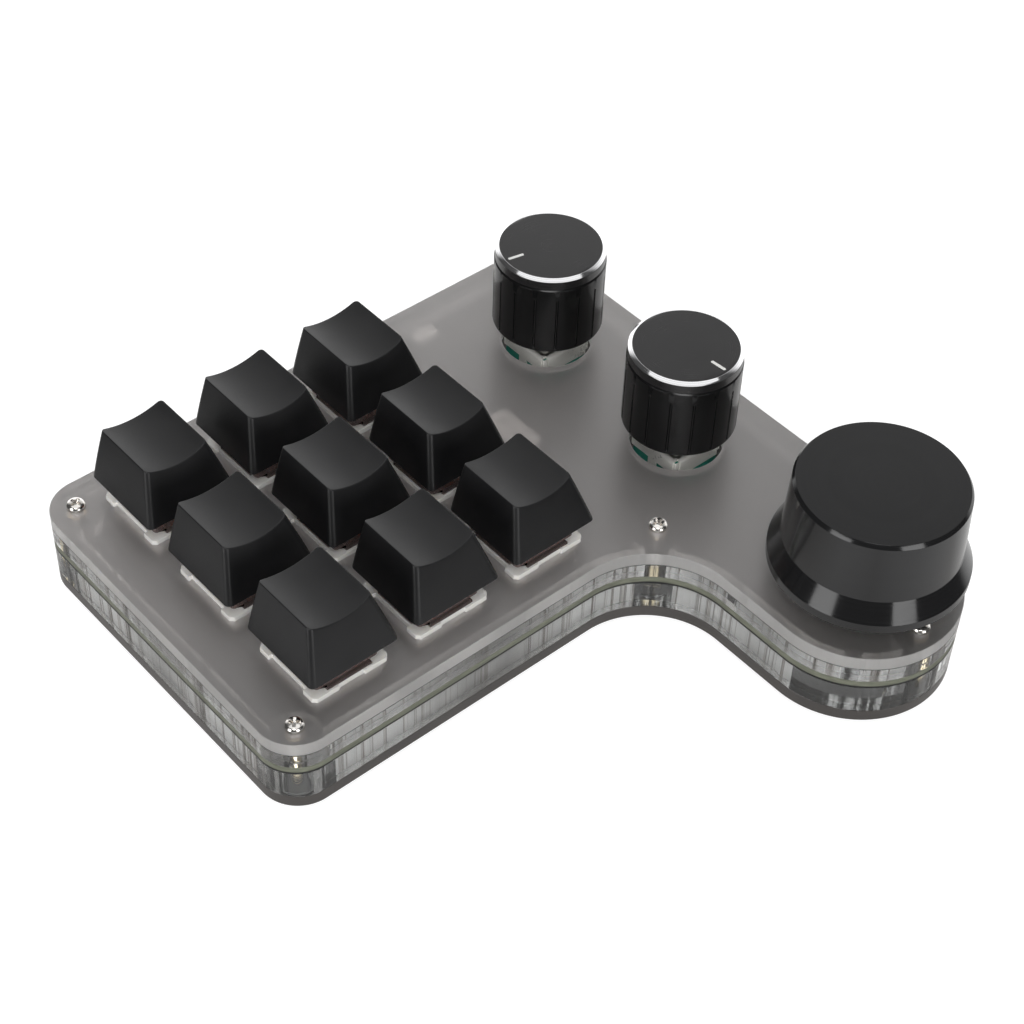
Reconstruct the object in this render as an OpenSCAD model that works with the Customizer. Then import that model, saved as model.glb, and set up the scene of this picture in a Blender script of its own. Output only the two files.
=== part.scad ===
// Macro keypad with nine keys and three push-and-turn knobs.
// A stack of L-shaped plates holds the circuit board. Keys stand on the
// block at the left, knobs in a column at the right. The column runs on
// towards the front as an arm with a round end.
// Millimetres. +Z is up, +Y is the back edge, +X is the right side.
// Origin: centre of the overall box, on the surface it rests on.

/* [Case outline] */
// Overall width of the plates, left to right
case_w = 117.7; // [117:0.1:121]
// Overall depth of the plates, front to back
case_d = 123.8; // [123:0.1:128]
// Depth of the key block, from the back edge
block_d = 74.6; // [74.2:0.1:76]
// Width of the arm that carries the large knob
arm_w = 35.8; // [35.4:0.1:37]
// Radius of the outer corners
corner_r = 7.5; // [5:0.5:9]
// Radius of the inside corner between key block and arm
fillet_r = 16.2; // [12:0.1:18]
// Wall thickness of the two clear frames
wall = 2.8; // [2.5:0.1:3.1]

/* [Plate stack] */
// Height of the rubber feet
foot_h = 2.0; // [1.8:0.1:4]
// Thickness of the bottom plate
bottom_t = 2.5; // [2:0.1:3.5]
// Thickness of the lower clear frame
lower_frame_t = 6.0; // [5.8:0.1:8]
// Thickness of the circuit board
pcb_t = 1.6; // [1.2:0.1:1.6]
// Thickness of the upper clear frame
upper_frame_t = 3.0; // [2.8:0.1:3.2]
// Thickness of the frosted top plate
top_t = 2.8; // [2.6:0.1:3]

/* [Keys] */
// Distance between key columns
pitch_x = 21.6; // [20:0.1:22]
// Distance between key rows
pitch_y = 22.9; // [20:0.1:23]
// Side of a keycap at its rim
cap_base = 18.1; // [18:0.1:18.6]
// Width of a keycap's top
cap_top_x = 12.56; // [12:0.02:13]
// Depth of a keycap's top
cap_top_y = 13.88; // [13.4:0.02:14.2]
// Height of a keycap, rim to top corners
cap_h = 9.6; // [9.4:0.1:10.4]
// Backward offset of the keycap's top
cap_shift = 1.67; // [0:0.01:1.8]
// Height of a keycap's rim above the top plate
rim_h = 5.5; // [5.5:0.1:5.8]
// Depth of the dish in a keycap's top
dish_h = 1.3; // [0.6:0.1:1.3]

/* [Knobs] */
// Diameter of the small knobs
small_knob_d = 21.0; // [20:0.1:22]
// Height of the small knobs
small_knob_h = 17.0; // [17:0.1:19]
// Number of grooves round a small knob
small_knob_grooves = 16; // [8:1:24]
// Diameter of the large knob's foot
big_knob_d = 35.0; // [34:0.1:35.2]
// Height of the large knob
big_knob_h = 18.0; // [17.5:0.1:20]
// Diameter of the holes in the top plate round the encoders
encoder_hole_d = 17.3; // [17:0.1:19]

/* [Hidden] */
$fn = 96;

// Levels of the stack
z_bottom = foot_h;
z_lower = z_bottom + bottom_t;
z_pcb = z_lower + lower_frame_t;
z_upper = z_pcb + pcb_t;
z_top = z_upper + upper_frame_t;
z_face = z_top + top_t;

// Plan positions
half_w = case_w / 2;
half_d = case_d / 2;
block_front = half_d - block_d;
arm_left = half_w - arm_w;
arm_r = arm_w / 2;
arm_c = [half_w - arm_r, -half_d + arm_r];
key_0 = [-half_w + 18.13, half_d - 14.8];
knob_x = arm_c[0] + 0.2;
encoders = [[knob_x, half_d - 23.45], [knob_x, half_d - 59.6], [knob_x, arm_c[1] - 0.3]];
screws = [
  [-half_w + 5.25, half_d - 5.8],
  [-half_w + 5.2, block_front + 4.7],
  [arm_left - 0.35, block_front + 0.4],
  [arm_c[0] - 0.2, arm_c[1] - 13.9],
  [half_w - 5.2, half_d - 5.8]
];
feet = [
  [-half_w + 12, half_d - 14], [-half_w + 12, block_front + 11],
  [half_w - 12, half_d - 14], [arm_c[0], arm_c[1] - 1.5]
];
usb_x = 13.3;

// Switch and encoder sizes that the standard parts fix
flange = 15.6;
flange_t = 1.0;
body_side = 13.9;
cutout = 14.0;
housing_top = 6.6;
washer_t = 0.6;
e_top = z_upper + 7.0;
shaft_top = e_top + 15.0;
bush_top = e_top + 5.0;
small_z = z_face + 5.3;
big_z = z_face + 6.1;

function key_pos(n) = [key_0[0] + ((n - 1) % 3) * pitch_x, key_0[1] - floor((n - 1) / 3) * pitch_y];

// ---- Plan shapes ----

// Outline of every plate, moved inwards by d
module plan(d) {
  r = max(corner_r - d, 0.8);
  difference() {
    union() {
      // key block, its back edge running on to the right side
      translate([-half_w + d + r, block_front + d]) square([case_w - 2 * d - 2 * r, block_d - 2 * d]);
      translate([-half_w + d, block_front + d + r]) square([2 * r, block_d - 2 * d - 2 * r]);
      translate([half_w - d - 2 * r, block_front + d]) square([2 * r, block_d - 2 * d - r]);
      translate([-half_w + d + r, half_d - d - r]) circle(r);
      translate([-half_w + d + r, block_front + d + r]) circle(r);
      translate([half_w - d - r, half_d - d - r]) circle(r);
      // arm with its round end
      translate([arm_left + d, arm_c[1]]) square([arm_w - 2 * d, block_front + d + 5 - arm_c[1]]);
      translate(arm_c) circle(arm_r - d);
      // material for the inside corner
      translate([arm_left - fillet_r, block_front - fillet_r]) square([fillet_r + d + 1, fillet_r + d + 1]);
    }
    translate([arm_left - fillet_r, block_front - fillet_r]) circle(fillet_r + d);
  }
}

module at_screws() { for (p = screws) translate(p) children(); }
module at_keys() { for (n = [1:9]) translate(key_pos(n)) children(); }
module at_encoders() { for (p = encoders) translate(p) children(); }

// Rectangle with rounded corners
module round_rect(w, d, r) {
  square([w - 2 * r, d], center = true);
  square([w, d - 2 * r], center = true);
  for (i = [-1, 1], j = [-1, 1]) translate([i * (w / 2 - r), j * (d / 2 - r)]) circle(r);
}

// Square with cut corners
module cut_square(s, c) {
  h = s / 2;
  polygon([[-h + c, -h], [h - c, -h], [h, -h + c], [h, h - c], [h - c, h], [-h + c, h], [-h, h - c], [-h, -h + c]]);
}

// Straight-sided block that narrows upwards, half sizes at the base and top
module taper(bx, by, tx, ty, h) {
  intersection() {
    rotate([90, 0, 0]) translate([0, 0, -20]) linear_extrude(40) polygon([[-bx, 0], [bx, 0], [tx, h], [-tx, h]]);
    rotate([90, 0, 90]) translate([0, 0, -20]) linear_extrude(40) polygon([[-by, 0], [by, 0], [ty, h], [-ty, h]]);
  }
}

// Block centred in plan, from level z0 to z1
module block(x, y, z0, z1) { translate([-x / 2, -y / 2, z0]) cube([x, y, z1 - z0]); }
module box_at(x0, x1, y0, y1, z0, z1) { translate([x0, y0, z0]) cube([x1 - x0, y1 - y0, z1 - z0]); }

// ---- Case ----

module top_plate() {
  color([0.72, 0.72, 0.72])
  translate([0, 0, z_top]) linear_extrude(top_t) difference() {
    plan(0);
    at_keys() square(cutout, center = true);
    at_encoders() circle(encoder_hole_d / 2);
    at_screws() circle(1.1);
  }
}

module upper_frame() {
  color([0.9, 0.92, 0.92])
  translate([0, 0, z_upper]) linear_extrude(upper_frame_t) difference() {
    plan(0);
    difference() { plan(wall); at_screws() circle(4.5); }
    at_screws() circle(1.65);
  }
}

module pcb() {
  color([0.36, 0.39, 0.27])
  translate([0, 0, z_pcb]) linear_extrude(pcb_t) difference() {
    plan(0.02);
    at_screws() circle(1.65);
    at_keys() { circle(2.05); translate([3.9, -2.54]) circle(1.5); translate([-2.54, -5.1]) circle(1.5); }
    at_encoders() {
      for (x = [-2.5, 0, 2.5]) translate([x, -7.0]) circle(0.55);
      for (x = [-2.5, 2.5]) translate([x, 7.0]) circle(0.55);
      for (x = [-5.7, 5.7]) translate([x, 0]) square([1.2, 2.6], center = true);
    }
  }
}

module lower_frame() {
  color([0.8, 0.83, 0.83])
  translate([0, 0, z_lower]) linear_extrude(lower_frame_t) difference() {
    plan(0);
    plan(wall);
    at_screws() circle(3.6);
    translate([usb_x - 4.9, half_d - wall - 1]) square([9.8, wall + 2]);
  }
}

module bottom_plate() {
  color([0.2, 0.19, 0.19])
  translate([0, 0, z_bottom]) linear_extrude(bottom_t) difference() {
    plan(0);
    at_screws() circle(1.1);
  }
}

// Cross-head screw, head upwards from z = 0
module screw(l) {
  difference() {
    union() {
      cylinder(r = 1.7, h = 0.7);
      translate([0, 0, 0.7]) cylinder(r1 = 1.7, r2 = 1.15, h = 0.55);
      translate([0, 0, -l]) cylinder(r = 0.98, h = l + 0.1);
    }
    translate([-1.05, -0.25, 0.55]) cube([2.1, 0.5, 1]);
    translate([-0.25, -1.05, 0.55]) cube([0.5, 2.1, 1]);
  }
}

module case_screws() {
  color([0.78, 0.76, 0.73]) {
    for (i = [0:len(screws) - 1]) {
      translate([screws[i][0], screws[i][1], z_face]) rotate(20 + 31 * i) screw(6);
      translate([screws[i][0], screws[i][1], z_bottom]) rotate([180, 0, 0]) screw(6);
    }
  }
}

module standoffs() {
  color([0.8, 0.66, 0.36])
  at_screws() translate([0, 0, z_lower + washer_t]) linear_extrude(z_top - z_lower - washer_t)
    difference() { circle(1.6); circle(1.0); }
}

module standoff_washers() {
  color([0.08, 0.08, 0.08])
  at_screws() translate([0, 0, z_lower]) linear_extrude(washer_t) difference() { circle(3.5); circle(1.15); }
}

module rubber_feet() {
  color([0.1, 0.1, 0.1])
  for (p = feet) translate(p) {
    cylinder(r1 = 3.7, r2 = 4.0, h = 0.4);
    translate([0, 0, 0.4]) cylinder(r = 4.0, h = foot_h - 0.4);
  }
}

// ---- Key switches ----

// White half, with the flange that rests on the plate
module lower_housing() {
  difference() {
    union() {
      translate([0, 0, z_face]) linear_extrude(flange_t) cut_square(flange, 0.7);
      block(body_side, body_side, z_face - 5, z_face + 0.1);
      translate([0, 0, z_face - 8.2]) cylinder(r = 2.0, h = 3.3);
    }
    // well for the slider, the spring and the contacts
    block(11.4, 11.4, z_face - 4, z_face + 2);
    translate([0, 0, z_face - 7.6]) cylinder(r = 1.55, h = 4);
    // seat of the clear half between the four corner pads
    block(9.4, 14.5, z_face + 0.5, z_face + 2);
    block(13.4, 9.4, z_face + 0.5, z_face + 2);
    // sides drawn in between the corner pads, and a notch in the front
    for (s = [-1, 1]) translate([s * flange / 2, 0, 0]) block(1.4, 9.4, z_face + 0.001, z_face + 2);
    translate([0, -flange / 2, 0]) block(5.2, 0.7, z_face + 0.001, z_face + 2);
    // slots for the two contact pins
    translate([3.9, -2.54, 0]) block(0.5, 1.1, z_face - 6, z_face - 3);
    translate([-2.54, -5.1, 0]) block(1.1, 0.5, z_face - 6, z_face - 3);
  }
}

module switch_lower_housings() {
  color([0.92, 0.9, 0.84]) at_keys() lower_housing();
}

// Smoky clear half over the slider
module upper_housing() {
  difference() {
    union() {
      block(9.2, 14.3, z_face + 0.5, z_face + 1.3);
      block(13.2, 9.2, z_face + 0.5, z_face + 1.3);
      translate([0, 0, z_face + 1]) taper(6.6, 6.6, 5.2, 5.0, housing_top - 1);
    }
    translate([0, 0, z_face + 0.4]) taper(5.7, 5.7, 4.3, 4.1, housing_top - 1.4);
    block(7.3, 6.3, z_face, z_face + 8);
  }
}

module switch_upper_housings() {
  color([0.36, 0.29, 0.29]) at_keys() upper_housing();
}

// Copper leaf, fixed contact and their pins
module contacts() {
  box_at(-3.0, 0.6, -5.2, -5.0, z_face - 3.9, z_face + 1.9);
  translate([-2.54, -5.1, 0]) block(1.0, 0.4, z_face - 8.3, z_face - 3.8);
  box_at(3.75, 4.05, -4.9, -2.04, z_face - 3.9, z_face + 1.0);
  translate([3.9, -2.54, 0]) block(0.4, 1.0, z_face - 8.3, z_face - 3.8);
}

module switch_contacts() {
  color([0.8, 0.5, 0.3]) at_keys() contacts();
}

// Slider with its cross and the pole inside the spring
module stem(n) {
  color([0.75, 0.12, 0.1]) translate(key_pos(n)) {
    difference() {
      block(7.0, 6.0, z_face + 1.1, z_face + housing_top);
      translate([0, 0, z_face + 1]) cylinder(r = 2.4, h = 4.1);
    }
    translate([0, 0, z_face - 3]) cylinder(r = 1.47, h = 8.3);
    block(4.0, 1.3, z_face + housing_top - 0.1, z_face + housing_top + 3.6);
    block(1.1, 4.0, z_face + housing_top - 0.1, z_face + housing_top + 3.6);
  }
}

// Coil spring as one swept tube
spring_turns = 9;
spring_seg = 10;
spring_sides = 5;
spring_r = 1.95;
wire_r = 0.17;
spring_z0 = z_face - 4 + wire_r + 0.02;
spring_z1 = z_face + 5.1 - wire_r - 0.02;
spring_n = spring_turns * spring_seg;
// closed end turns, open turns between them
function spring_lift(t) = t < 1 ? t * 2.4 * wire_r : t > spring_turns - 1
  ? (spring_z1 - spring_z0) - (spring_turns - t) * 2.4 * wire_r
  : 2.4 * wire_r + (t - 1) / (spring_turns - 2) * (spring_z1 - spring_z0 - 4.8 * wire_r);
spring_points = [for (i = [0:spring_n], k = [0:spring_sides - 1])
  let (a = 360 * i / spring_seg, b = 360 * k / spring_sides, r = spring_r + wire_r * cos(b))
  [r * cos(a), r * sin(a), spring_z0 + spring_lift(i / spring_seg) + wire_r * sin(b)]];
spring_faces = concat(
  [[for (k = [0:spring_sides - 1]) k]],
  [[for (k = [0:spring_sides - 1]) spring_n * spring_sides + spring_sides - 1 - k]],
  [for (i = [0:spring_n - 1], k = [0:spring_sides - 1])
    let (a = i * spring_sides + k, b = i * spring_sides + (k + 1) % spring_sides)
    [a, a + spring_sides, b]],
  [for (i = [0:spring_n - 1], k = [0:spring_sides - 1])
    let (a = i * spring_sides + k, b = i * spring_sides + (k + 1) % spring_sides)
    [b, a + spring_sides, b + spring_sides]]
);

module spring(n) {
  color([0.75, 0.75, 0.74]) translate(key_pos(n)) polyhedron(points = spring_points, faces = spring_faces, convexity = 6);
}

// Keycap: tapered shell with a dished top and a socket for the stem's cross
cap_z = z_face + rim_h;
ceil_h = 6.8;
ceil_k = ceil_h / cap_h;
dish_r = (pow(cap_top_x / 2, 2) + dish_h * dish_h) / (2 * dish_h);
module cap(n) {
  color([0.07, 0.07, 0.08]) translate(key_pos(n)) {
    difference() {
      hull() {
        translate([0, 0, cap_z]) linear_extrude(0.5) round_rect(cap_base, cap_base, 1.1, $fn = 32);
        translate([0, cap_shift, cap_z + cap_h - 0.01]) linear_extrude(0.01) round_rect(cap_top_x, cap_top_y, 0.8, $fn = 32);
      }
      translate([0, 0, cap_z + cap_h - dish_h + dish_r]) rotate([90, 0, 0]) translate([0, 0, -20]) cylinder(r = dish_r, h = 40);
      hull() {
        translate([0, 0, cap_z - 0.1]) linear_extrude(0.2) round_rect(cap_base - 2.4, cap_base - 2.4, 0.8, $fn = 32);
        translate([0, cap_shift * ceil_k, cap_z + ceil_h - 0.01]) linear_extrude(0.01)
          round_rect(cap_base - (cap_base - cap_top_x) * ceil_k - 2.4, cap_base - (cap_base - cap_top_y) * ceil_k - 2.4, 0.6, $fn = 32);
      }
    }
    difference() {
      translate([0, 0, z_face + housing_top + 0.1]) cylinder(r = 2.75, h = cap_z + ceil_h + 0.2 - z_face - housing_top - 0.1, $fn = 48);
      block(4.04, 1.34, z_face, z_face + housing_top + 3.8);
      block(1.14, 4.04, z_face, z_face + housing_top + 3.8);
    }
  }
}

// ---- Circuit board parts ----

// Socket under the board with two barrels that take the switch pins
module socket() {
  difference() {
    union() {
      box_at(-5.0, 2.2, -7.3, -3.0, z_pcb - 1.8, z_pcb);
      box_at(2.1, 6.4, -5.0, -0.6, z_pcb - 1.8, z_pcb);
      box_at(-6.4, -4.9, -6.2, -4.0, z_pcb - 0.5, z_pcb);
      box_at(6.3, 7.8, -3.6, -1.5, z_pcb - 0.5, z_pcb);
      translate([3.9, -2.54, z_pcb - 0.1]) cylinder(r = 1.45, h = pcb_t + 0.1);
      translate([-2.54, -5.1, z_pcb - 0.1]) cylinder(r = 1.45, h = pcb_t + 0.1);
    }
    translate([3.9, -2.54, 0]) block(0.6, 1.2, z_pcb - 2, z_pcb + 3);
    translate([-2.54, -5.1, 0]) block(1.2, 0.6, z_pcb - 2, z_pcb + 3);
  }
}

module hotswap_sockets() { color([0.12, 0.12, 0.13]) at_keys() socket(); }

module usb_c_connector() {
  color([0.75, 0.75, 0.76])
  translate([usb_x, half_d - 0.3, z_pcb - 1.6]) rotate([90, 0, 0]) {
    difference() {
      linear_extrude(7.35) { square([5.78, 3.16], center = true); for (s = [-1, 1]) translate([s * 2.89, 0]) circle(1.58); }
      translate([0, 0, -1]) linear_extrude(7.35) { square([5.78, 2.56], center = true); for (s = [-1, 1]) translate([s * 2.89, 0]) circle(1.28); }
    }
    translate([-3.3, -0.35, 1.6]) cube([6.6, 0.7, 5]);
  }
}

module microcontroller() {
  color([0.1, 0.1, 0.1]) translate([21, 2, 0]) {
    block(9.9, 3.9, z_pcb - 1.6, z_pcb - 0.1);
    for (i = [0:7], s = [-1, 1]) translate([-4.445 + i * 1.27, 0, 0]) {
      box_at(-0.2, 0.2, s > 0 ? 1.9 : -2.6, s > 0 ? 2.6 : -1.9, z_pcb - 0.9, z_pcb - 0.7);
      box_at(-0.2, 0.2, s > 0 ? 2.4 : -2.6, s > 0 ? 2.6 : -2.4, z_pcb - 0.9, z_pcb);
      box_at(-0.2, 0.2, s > 0 ? 2.4 : -3.0, s > 0 ? 3.0 : -2.4, z_pcb - 0.2, z_pcb);
    }
  }
}

module diodes() {
  color([0.14, 0.13, 0.13]) at_keys() translate([-4.4, 4.6, 0]) {
    block(2.7, 1.6, z_pcb - 1.2, z_pcb - 0.1);
    for (s = [-1, 1]) translate([s * 1.55, 0, 0]) block(0.7, 0.6, z_pcb - 0.25, z_pcb);
  }
}

// White chip light on the board's top, near the back edge
module status_led() {
  color([0.95, 0.95, 0.93]) translate([26, half_d - 5.0, 0]) {
    difference() {
      block(5.0, 3.0, z_upper, z_upper + 1.3);
      for (i = [-1, 1], j = [-1, 1]) translate([i * 2.5, j * 1.5, 0]) block(0.9, 0.7, z_upper - 1, z_upper + 3);
    }
    translate([0, 0, z_upper + 1.2]) cylinder(r = 1.1, h = 0.3);
  }
}

// Flat white connector on the board's top
module board_connector() {
  color([0.94, 0.93, 0.9]) translate([21.1, half_d - 36.8, 0]) {
    difference() {
      translate([0, 0, z_upper]) linear_extrude(1.7) round_rect(5.6, 11.0, 1.2);
      translate([0, 0, 0]) block(1.2, 8.4, z_upper + 0.6, z_upper + 3);
    }
  }
}

// ---- Encoders and knobs ----

// Circle with a flat on its back side
module d_circle(r, f) {
  difference() { circle(r); translate([-r - 1, f]) square([2 * r + 2, r + 1]); }
}

// Resin block with the well for the rotor and five pins
module encoder_base() {
  difference() {
    union() {
      block(11.0, 11.0, z_upper, e_top - 0.6);
      for (x = [-2.5, 0, 2.5]) box_at(x - 0.75, x + 0.75, -7.4, -5.4, z_upper, z_upper + 1.4);
      for (x = [-2.5, 2.5]) box_at(x - 0.75, x + 0.75, 5.4, 7.4, z_upper, z_upper + 1.4);
      for (x = [-2.5, 0, 2.5]) translate([x, -7.0, z_pcb - 1.6]) cylinder(r = 0.4, h = pcb_t + 1.7, $fn = 24);
      for (x = [-2.5, 2.5]) translate([x, 7.0, z_pcb - 1.6]) cylinder(r = 0.4, h = pcb_t + 1.7, $fn = 24);
    }
    translate([0, 0, z_upper + 1.0]) cylinder(r = 4.7, h = 8);
    translate([0, 0, z_upper + 0.5]) cylinder(r = 2.6, h = 8);
  }
}

module encoder_bases() { color([0.16, 0.5, 0.4]) at_encoders() encoder_base(); }

// Plated sheet folded over the base on four sides, with two lugs into the board
module encoder_bracket() {
  difference() {
    block(12.0, 12.0, e_top - 0.5, e_top);
    translate([0, 0, e_top - 2]) cylinder(r = 3.55, h = 4);
    for (i = [-1, 1], j = [-1, 1]) translate([i * 6, j * 6, 0]) block(1.2, 1.2, e_top - 2, e_top + 2);
  }
  for (s = [-1, 1]) {
    translate([s * 5.78, 0, 0]) block(0.44, 10.8, e_top - 3.1, e_top - 0.4);
    translate([0, s * 5.78, 0]) block(9.6, 0.44, e_top - 4.0, e_top - 0.4);
    translate([s * 5.78, 0, 0]) block(0.44, 2.0, z_pcb - 0.8, e_top - 3.0);
  }
}

module encoder_brackets() { color([0.72, 0.72, 0.7]) at_encoders() encoder_bracket(); }

// Threaded collar that guides the shaft
module encoder_bushing() {
  difference() {
    union() {
      translate([0, 0, e_top - 1.5]) cylinder(r = 4.5, h = 0.95);
      translate([0, 0, e_top - 0.6]) cylinder(r = 3.3, h = 5.5);
      for (i = [0:6]) translate([0, 0, e_top - 0.4 + i * 0.75]) {
        cylinder(r1 = 3.3, r2 = 3.5, h = 0.2);
        translate([0, 0, 0.2]) cylinder(r = 3.5, h = 0.1);
        translate([0, 0, 0.3]) cylinder(r1 = 3.5, r2 = 3.3, h = 0.2);
      }
    }
    translate([0, 0, e_top - 2]) cylinder(r = 3.05, h = 9);
  }
}

module encoder_bushings() { color([0.76, 0.75, 0.72]) at_encoders() encoder_bushing(); }

// Contact disc, keyed to the shaft
module rotor(k) {
  color([0.85, 0.83, 0.78]) translate(encoders[k - 1]) difference() {
    union() {
      translate([0, 0, z_upper + 2.1]) cylinder(r = 4.5, h = 1.6);
      translate([0, 0, z_upper + 3.6]) cylinder(r = 3.4, h = 1.2);
    }
    translate([0, 0, z_upper]) linear_extrude(9) d_circle(2.25, 1.55);
    for (a = [0:30:330]) rotate(a) translate([3.9, 0, z_upper + 3.3]) cylinder(r = 0.25, h = 2, $fn = 24);
  }
}

module shaft(k) {
  color([0.75, 0.75, 0.74]) translate(encoders[k - 1]) {
    translate([0, 0, z_upper + 1.2]) linear_extrude(4.4) d_circle(2.2, 1.5);
    translate([0, 0, z_upper + 5.5]) cylinder(r = 3.0, h = bush_top + 0.6 - z_upper - 5.5);
    translate([0, 0, bush_top + 0.5]) linear_extrude(shaft_top - bush_top - 0.5) d_circle(3.0, 1.5);
  }
}

// Small knob: grooved shell, hub and ribs
small_r = small_knob_d / 2;
small_body_h = small_knob_h - 2.3;
module small_knob(k) {
  color([0.05, 0.05, 0.055]) translate([encoders[k - 1][0], encoders[k - 1][1], small_z]) {
    difference() {
      union() {
        cylinder(r = small_r, h = small_body_h - 0.3);
        translate([0, 0, small_body_h - 0.4]) cylinder(r = small_r - 0.3, h = 0.4);
      }
      translate([0, 0, -1]) cylinder(r = small_r - 1.6, h = small_body_h - 0.4);
      for (i = [0:small_knob_grooves - 1]) rotate((i + 0.5) * 360 / small_knob_grooves)
        translate([small_r + 0.15, 0, -1]) cylinder(r = 0.5, h = small_body_h - 1.5, $fn = 24);
    }
    difference() {
      union() {
        translate([0, 0, 1.6]) cylinder(r = 4.6, h = small_body_h - 2.6);
        for (a = [0:60:150]) rotate(a) block(2 * small_r - 2.4, 1.0, 4.5, small_body_h - 1.0);
      }
      translate([0, 0, 1]) linear_extrude(shaft_top - small_z - 0.9) d_circle(3.02, 1.52);
      translate([0, 0, -1]) cylinder(r = 4.0, h = 3.2);
    }
  }
}

// Metal cap of a small knob with its cut edge and pointer groove
pointer_a = [168, -85];
module small_knob_cap(k) {
  color([0.16, 0.16, 0.17]) translate([encoders[k - 1][0], encoders[k - 1][1], small_z + small_body_h]) difference() {
    union() {
      cylinder(r = small_r - 0.14, h = 1.7);
      translate([0, 0, 1.7]) cylinder(r1 = small_r - 0.14, r2 = small_r - 1.02, h = 0.6);
    }
    rotate(pointer_a[k - 1]) translate([5.8, -0.3, 2.2]) cube([3.6, 0.6, 1]);
  }
}

// Large knob: turned body on a conical foot
big_r = big_knob_d / 2;
module big_knob() {
  color([0.06, 0.06, 0.065]) translate([encoders[2][0], encoders[2][1], big_z]) difference() {
    union() {
      cylinder(r = big_r, h = 1.9);
      translate([0, 0, 1.9]) cylinder(r1 = big_r, r2 = big_r - 1.9, h = 3.8);
      translate([0, 0, 5.7]) cylinder(r1 = big_r - 1.9, r2 = big_r - 2.5, h = big_knob_h - 6.4);
      translate([0, 0, big_knob_h - 0.7]) cylinder(r1 = big_r - 2.5, r2 = big_r - 3.0, h = 0.7);
    }
    translate([0, 0, -1]) cylinder(r = 9.0, h = 5);
    translate([0, 0, 3]) linear_extrude(shaft_top - big_z - 2.9) d_circle(3.02, 1.52);
    translate([0, 0, 7.5]) rotate([-90, 0, 0]) cylinder(r = 1.55, h = 20, $fn = 48);
  }
}

// Grub screw that bears on the shaft's flat
module big_knob_set_screw() {
  color([0.3, 0.3, 0.3]) translate([encoders[2][0], encoders[2][1], big_z + 7.5]) rotate([-90, 0, 0]) difference() {
    translate([0, 0, 1.55]) cylinder(r = 1.5, h = 4.0, $fn = 48);
    translate([0, 0, 4.2]) cylinder(r = 0.87, h = 2, $fn = 6);
  }
}

top_plate();
upper_frame();
pcb();
lower_frame();
bottom_plate();
case_screws();
standoffs();
standoff_washers();
rubber_feet();
switch_lower_housings();
switch_upper_housings();
switch_contacts();
hotswap_sockets();
usb_c_connector();
microcontroller();
diodes();
status_led();
board_connector();
encoder_bases();
encoder_brackets();
encoder_bushings();
rotor(1);  // encoder_rotor_1
rotor(2);  // encoder_rotor_2
rotor(3);  // encoder_rotor_3
shaft(1);  // encoder_shaft_1
shaft(2);  // encoder_shaft_2
shaft(3);  // encoder_shaft_3
small_knob(1);  // small_knob_1
small_knob(2);  // small_knob_2
small_knob_cap(1);  // small_knob_cap_1
small_knob_cap(2);  // small_knob_cap_2
big_knob();
big_knob_set_screw();
cap(1);  // keycap_1
cap(2);  // keycap_2
cap(3);  // keycap_3
cap(4);  // keycap_4
cap(5);  // keycap_5
cap(6);  // keycap_6
cap(7);  // keycap_7
cap(8);  // keycap_8
cap(9);  // keycap_9
stem(1);  // switch_stem_1
stem(2);  // switch_stem_2
stem(3);  // switch_stem_3
stem(4);  // switch_stem_4
stem(5);  // switch_stem_5
stem(6);  // switch_stem_6
stem(7);  // switch_stem_7
stem(8);  // switch_stem_8
stem(9);  // switch_stem_9
spring(1);  // switch_spring_1
spring(2);  // switch_spring_2
spring(3);  // switch_spring_3
spring(4);  // switch_spring_4
spring(5);  // switch_spring_5
spring(6);  // switch_spring_6
spring(7);  // switch_spring_7
spring(8);  // switch_spring_8
spring(9);  // switch_spring_9
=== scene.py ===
import math

import bpy
import bmesh
from mathutils import Matrix, Vector
from mathutils.geometry import tessellate_polygon


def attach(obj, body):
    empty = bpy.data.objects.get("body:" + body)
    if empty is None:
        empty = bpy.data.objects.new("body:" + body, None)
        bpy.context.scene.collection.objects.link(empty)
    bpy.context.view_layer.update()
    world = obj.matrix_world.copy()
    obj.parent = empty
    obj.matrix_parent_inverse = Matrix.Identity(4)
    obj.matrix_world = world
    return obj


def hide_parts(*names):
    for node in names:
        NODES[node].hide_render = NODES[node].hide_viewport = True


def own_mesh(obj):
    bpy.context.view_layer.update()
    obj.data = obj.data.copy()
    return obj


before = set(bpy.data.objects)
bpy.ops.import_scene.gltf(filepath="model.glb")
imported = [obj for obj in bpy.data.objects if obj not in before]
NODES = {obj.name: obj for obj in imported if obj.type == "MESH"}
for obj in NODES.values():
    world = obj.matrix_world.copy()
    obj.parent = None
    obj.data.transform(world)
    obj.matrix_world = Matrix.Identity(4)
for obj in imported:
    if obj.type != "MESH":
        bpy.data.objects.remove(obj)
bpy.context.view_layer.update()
scene = bpy.context.scene

# ---------------------------------------------------------------- camera
# The camera comes first: it sees the keypad as the photograph does.
cam_data = bpy.data.cameras.new("camera")
cam_data.sensor_fit = "HORIZONTAL"
cam_data.sensor_width = 36.0
cam_data.lens = 76.40
cam_data.clip_start, cam_data.clip_end = 0.01, 20.0
cam = bpy.data.objects.new("camera", cam_data)
scene.collection.objects.link(cam)
RIGHT = Vector((0.75753155, -0.65217537, 0.0285173))
DOWN = Vector((-0.44885112, -0.55208603, -0.70266186))
FWD = Vector((0.47400276, 0.51948851, -0.71095223))
m = Matrix.Identity(4)
for i in range(3):
    m[i][0], m[i][1], m[i][2] = RIGHT[i], -DOWN[i], -FWD[i]
m[0][3], m[1][3], m[2][3] = -0.17719, -0.19310, 0.29134
cam.matrix_world = m
scene.camera = cam

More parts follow.
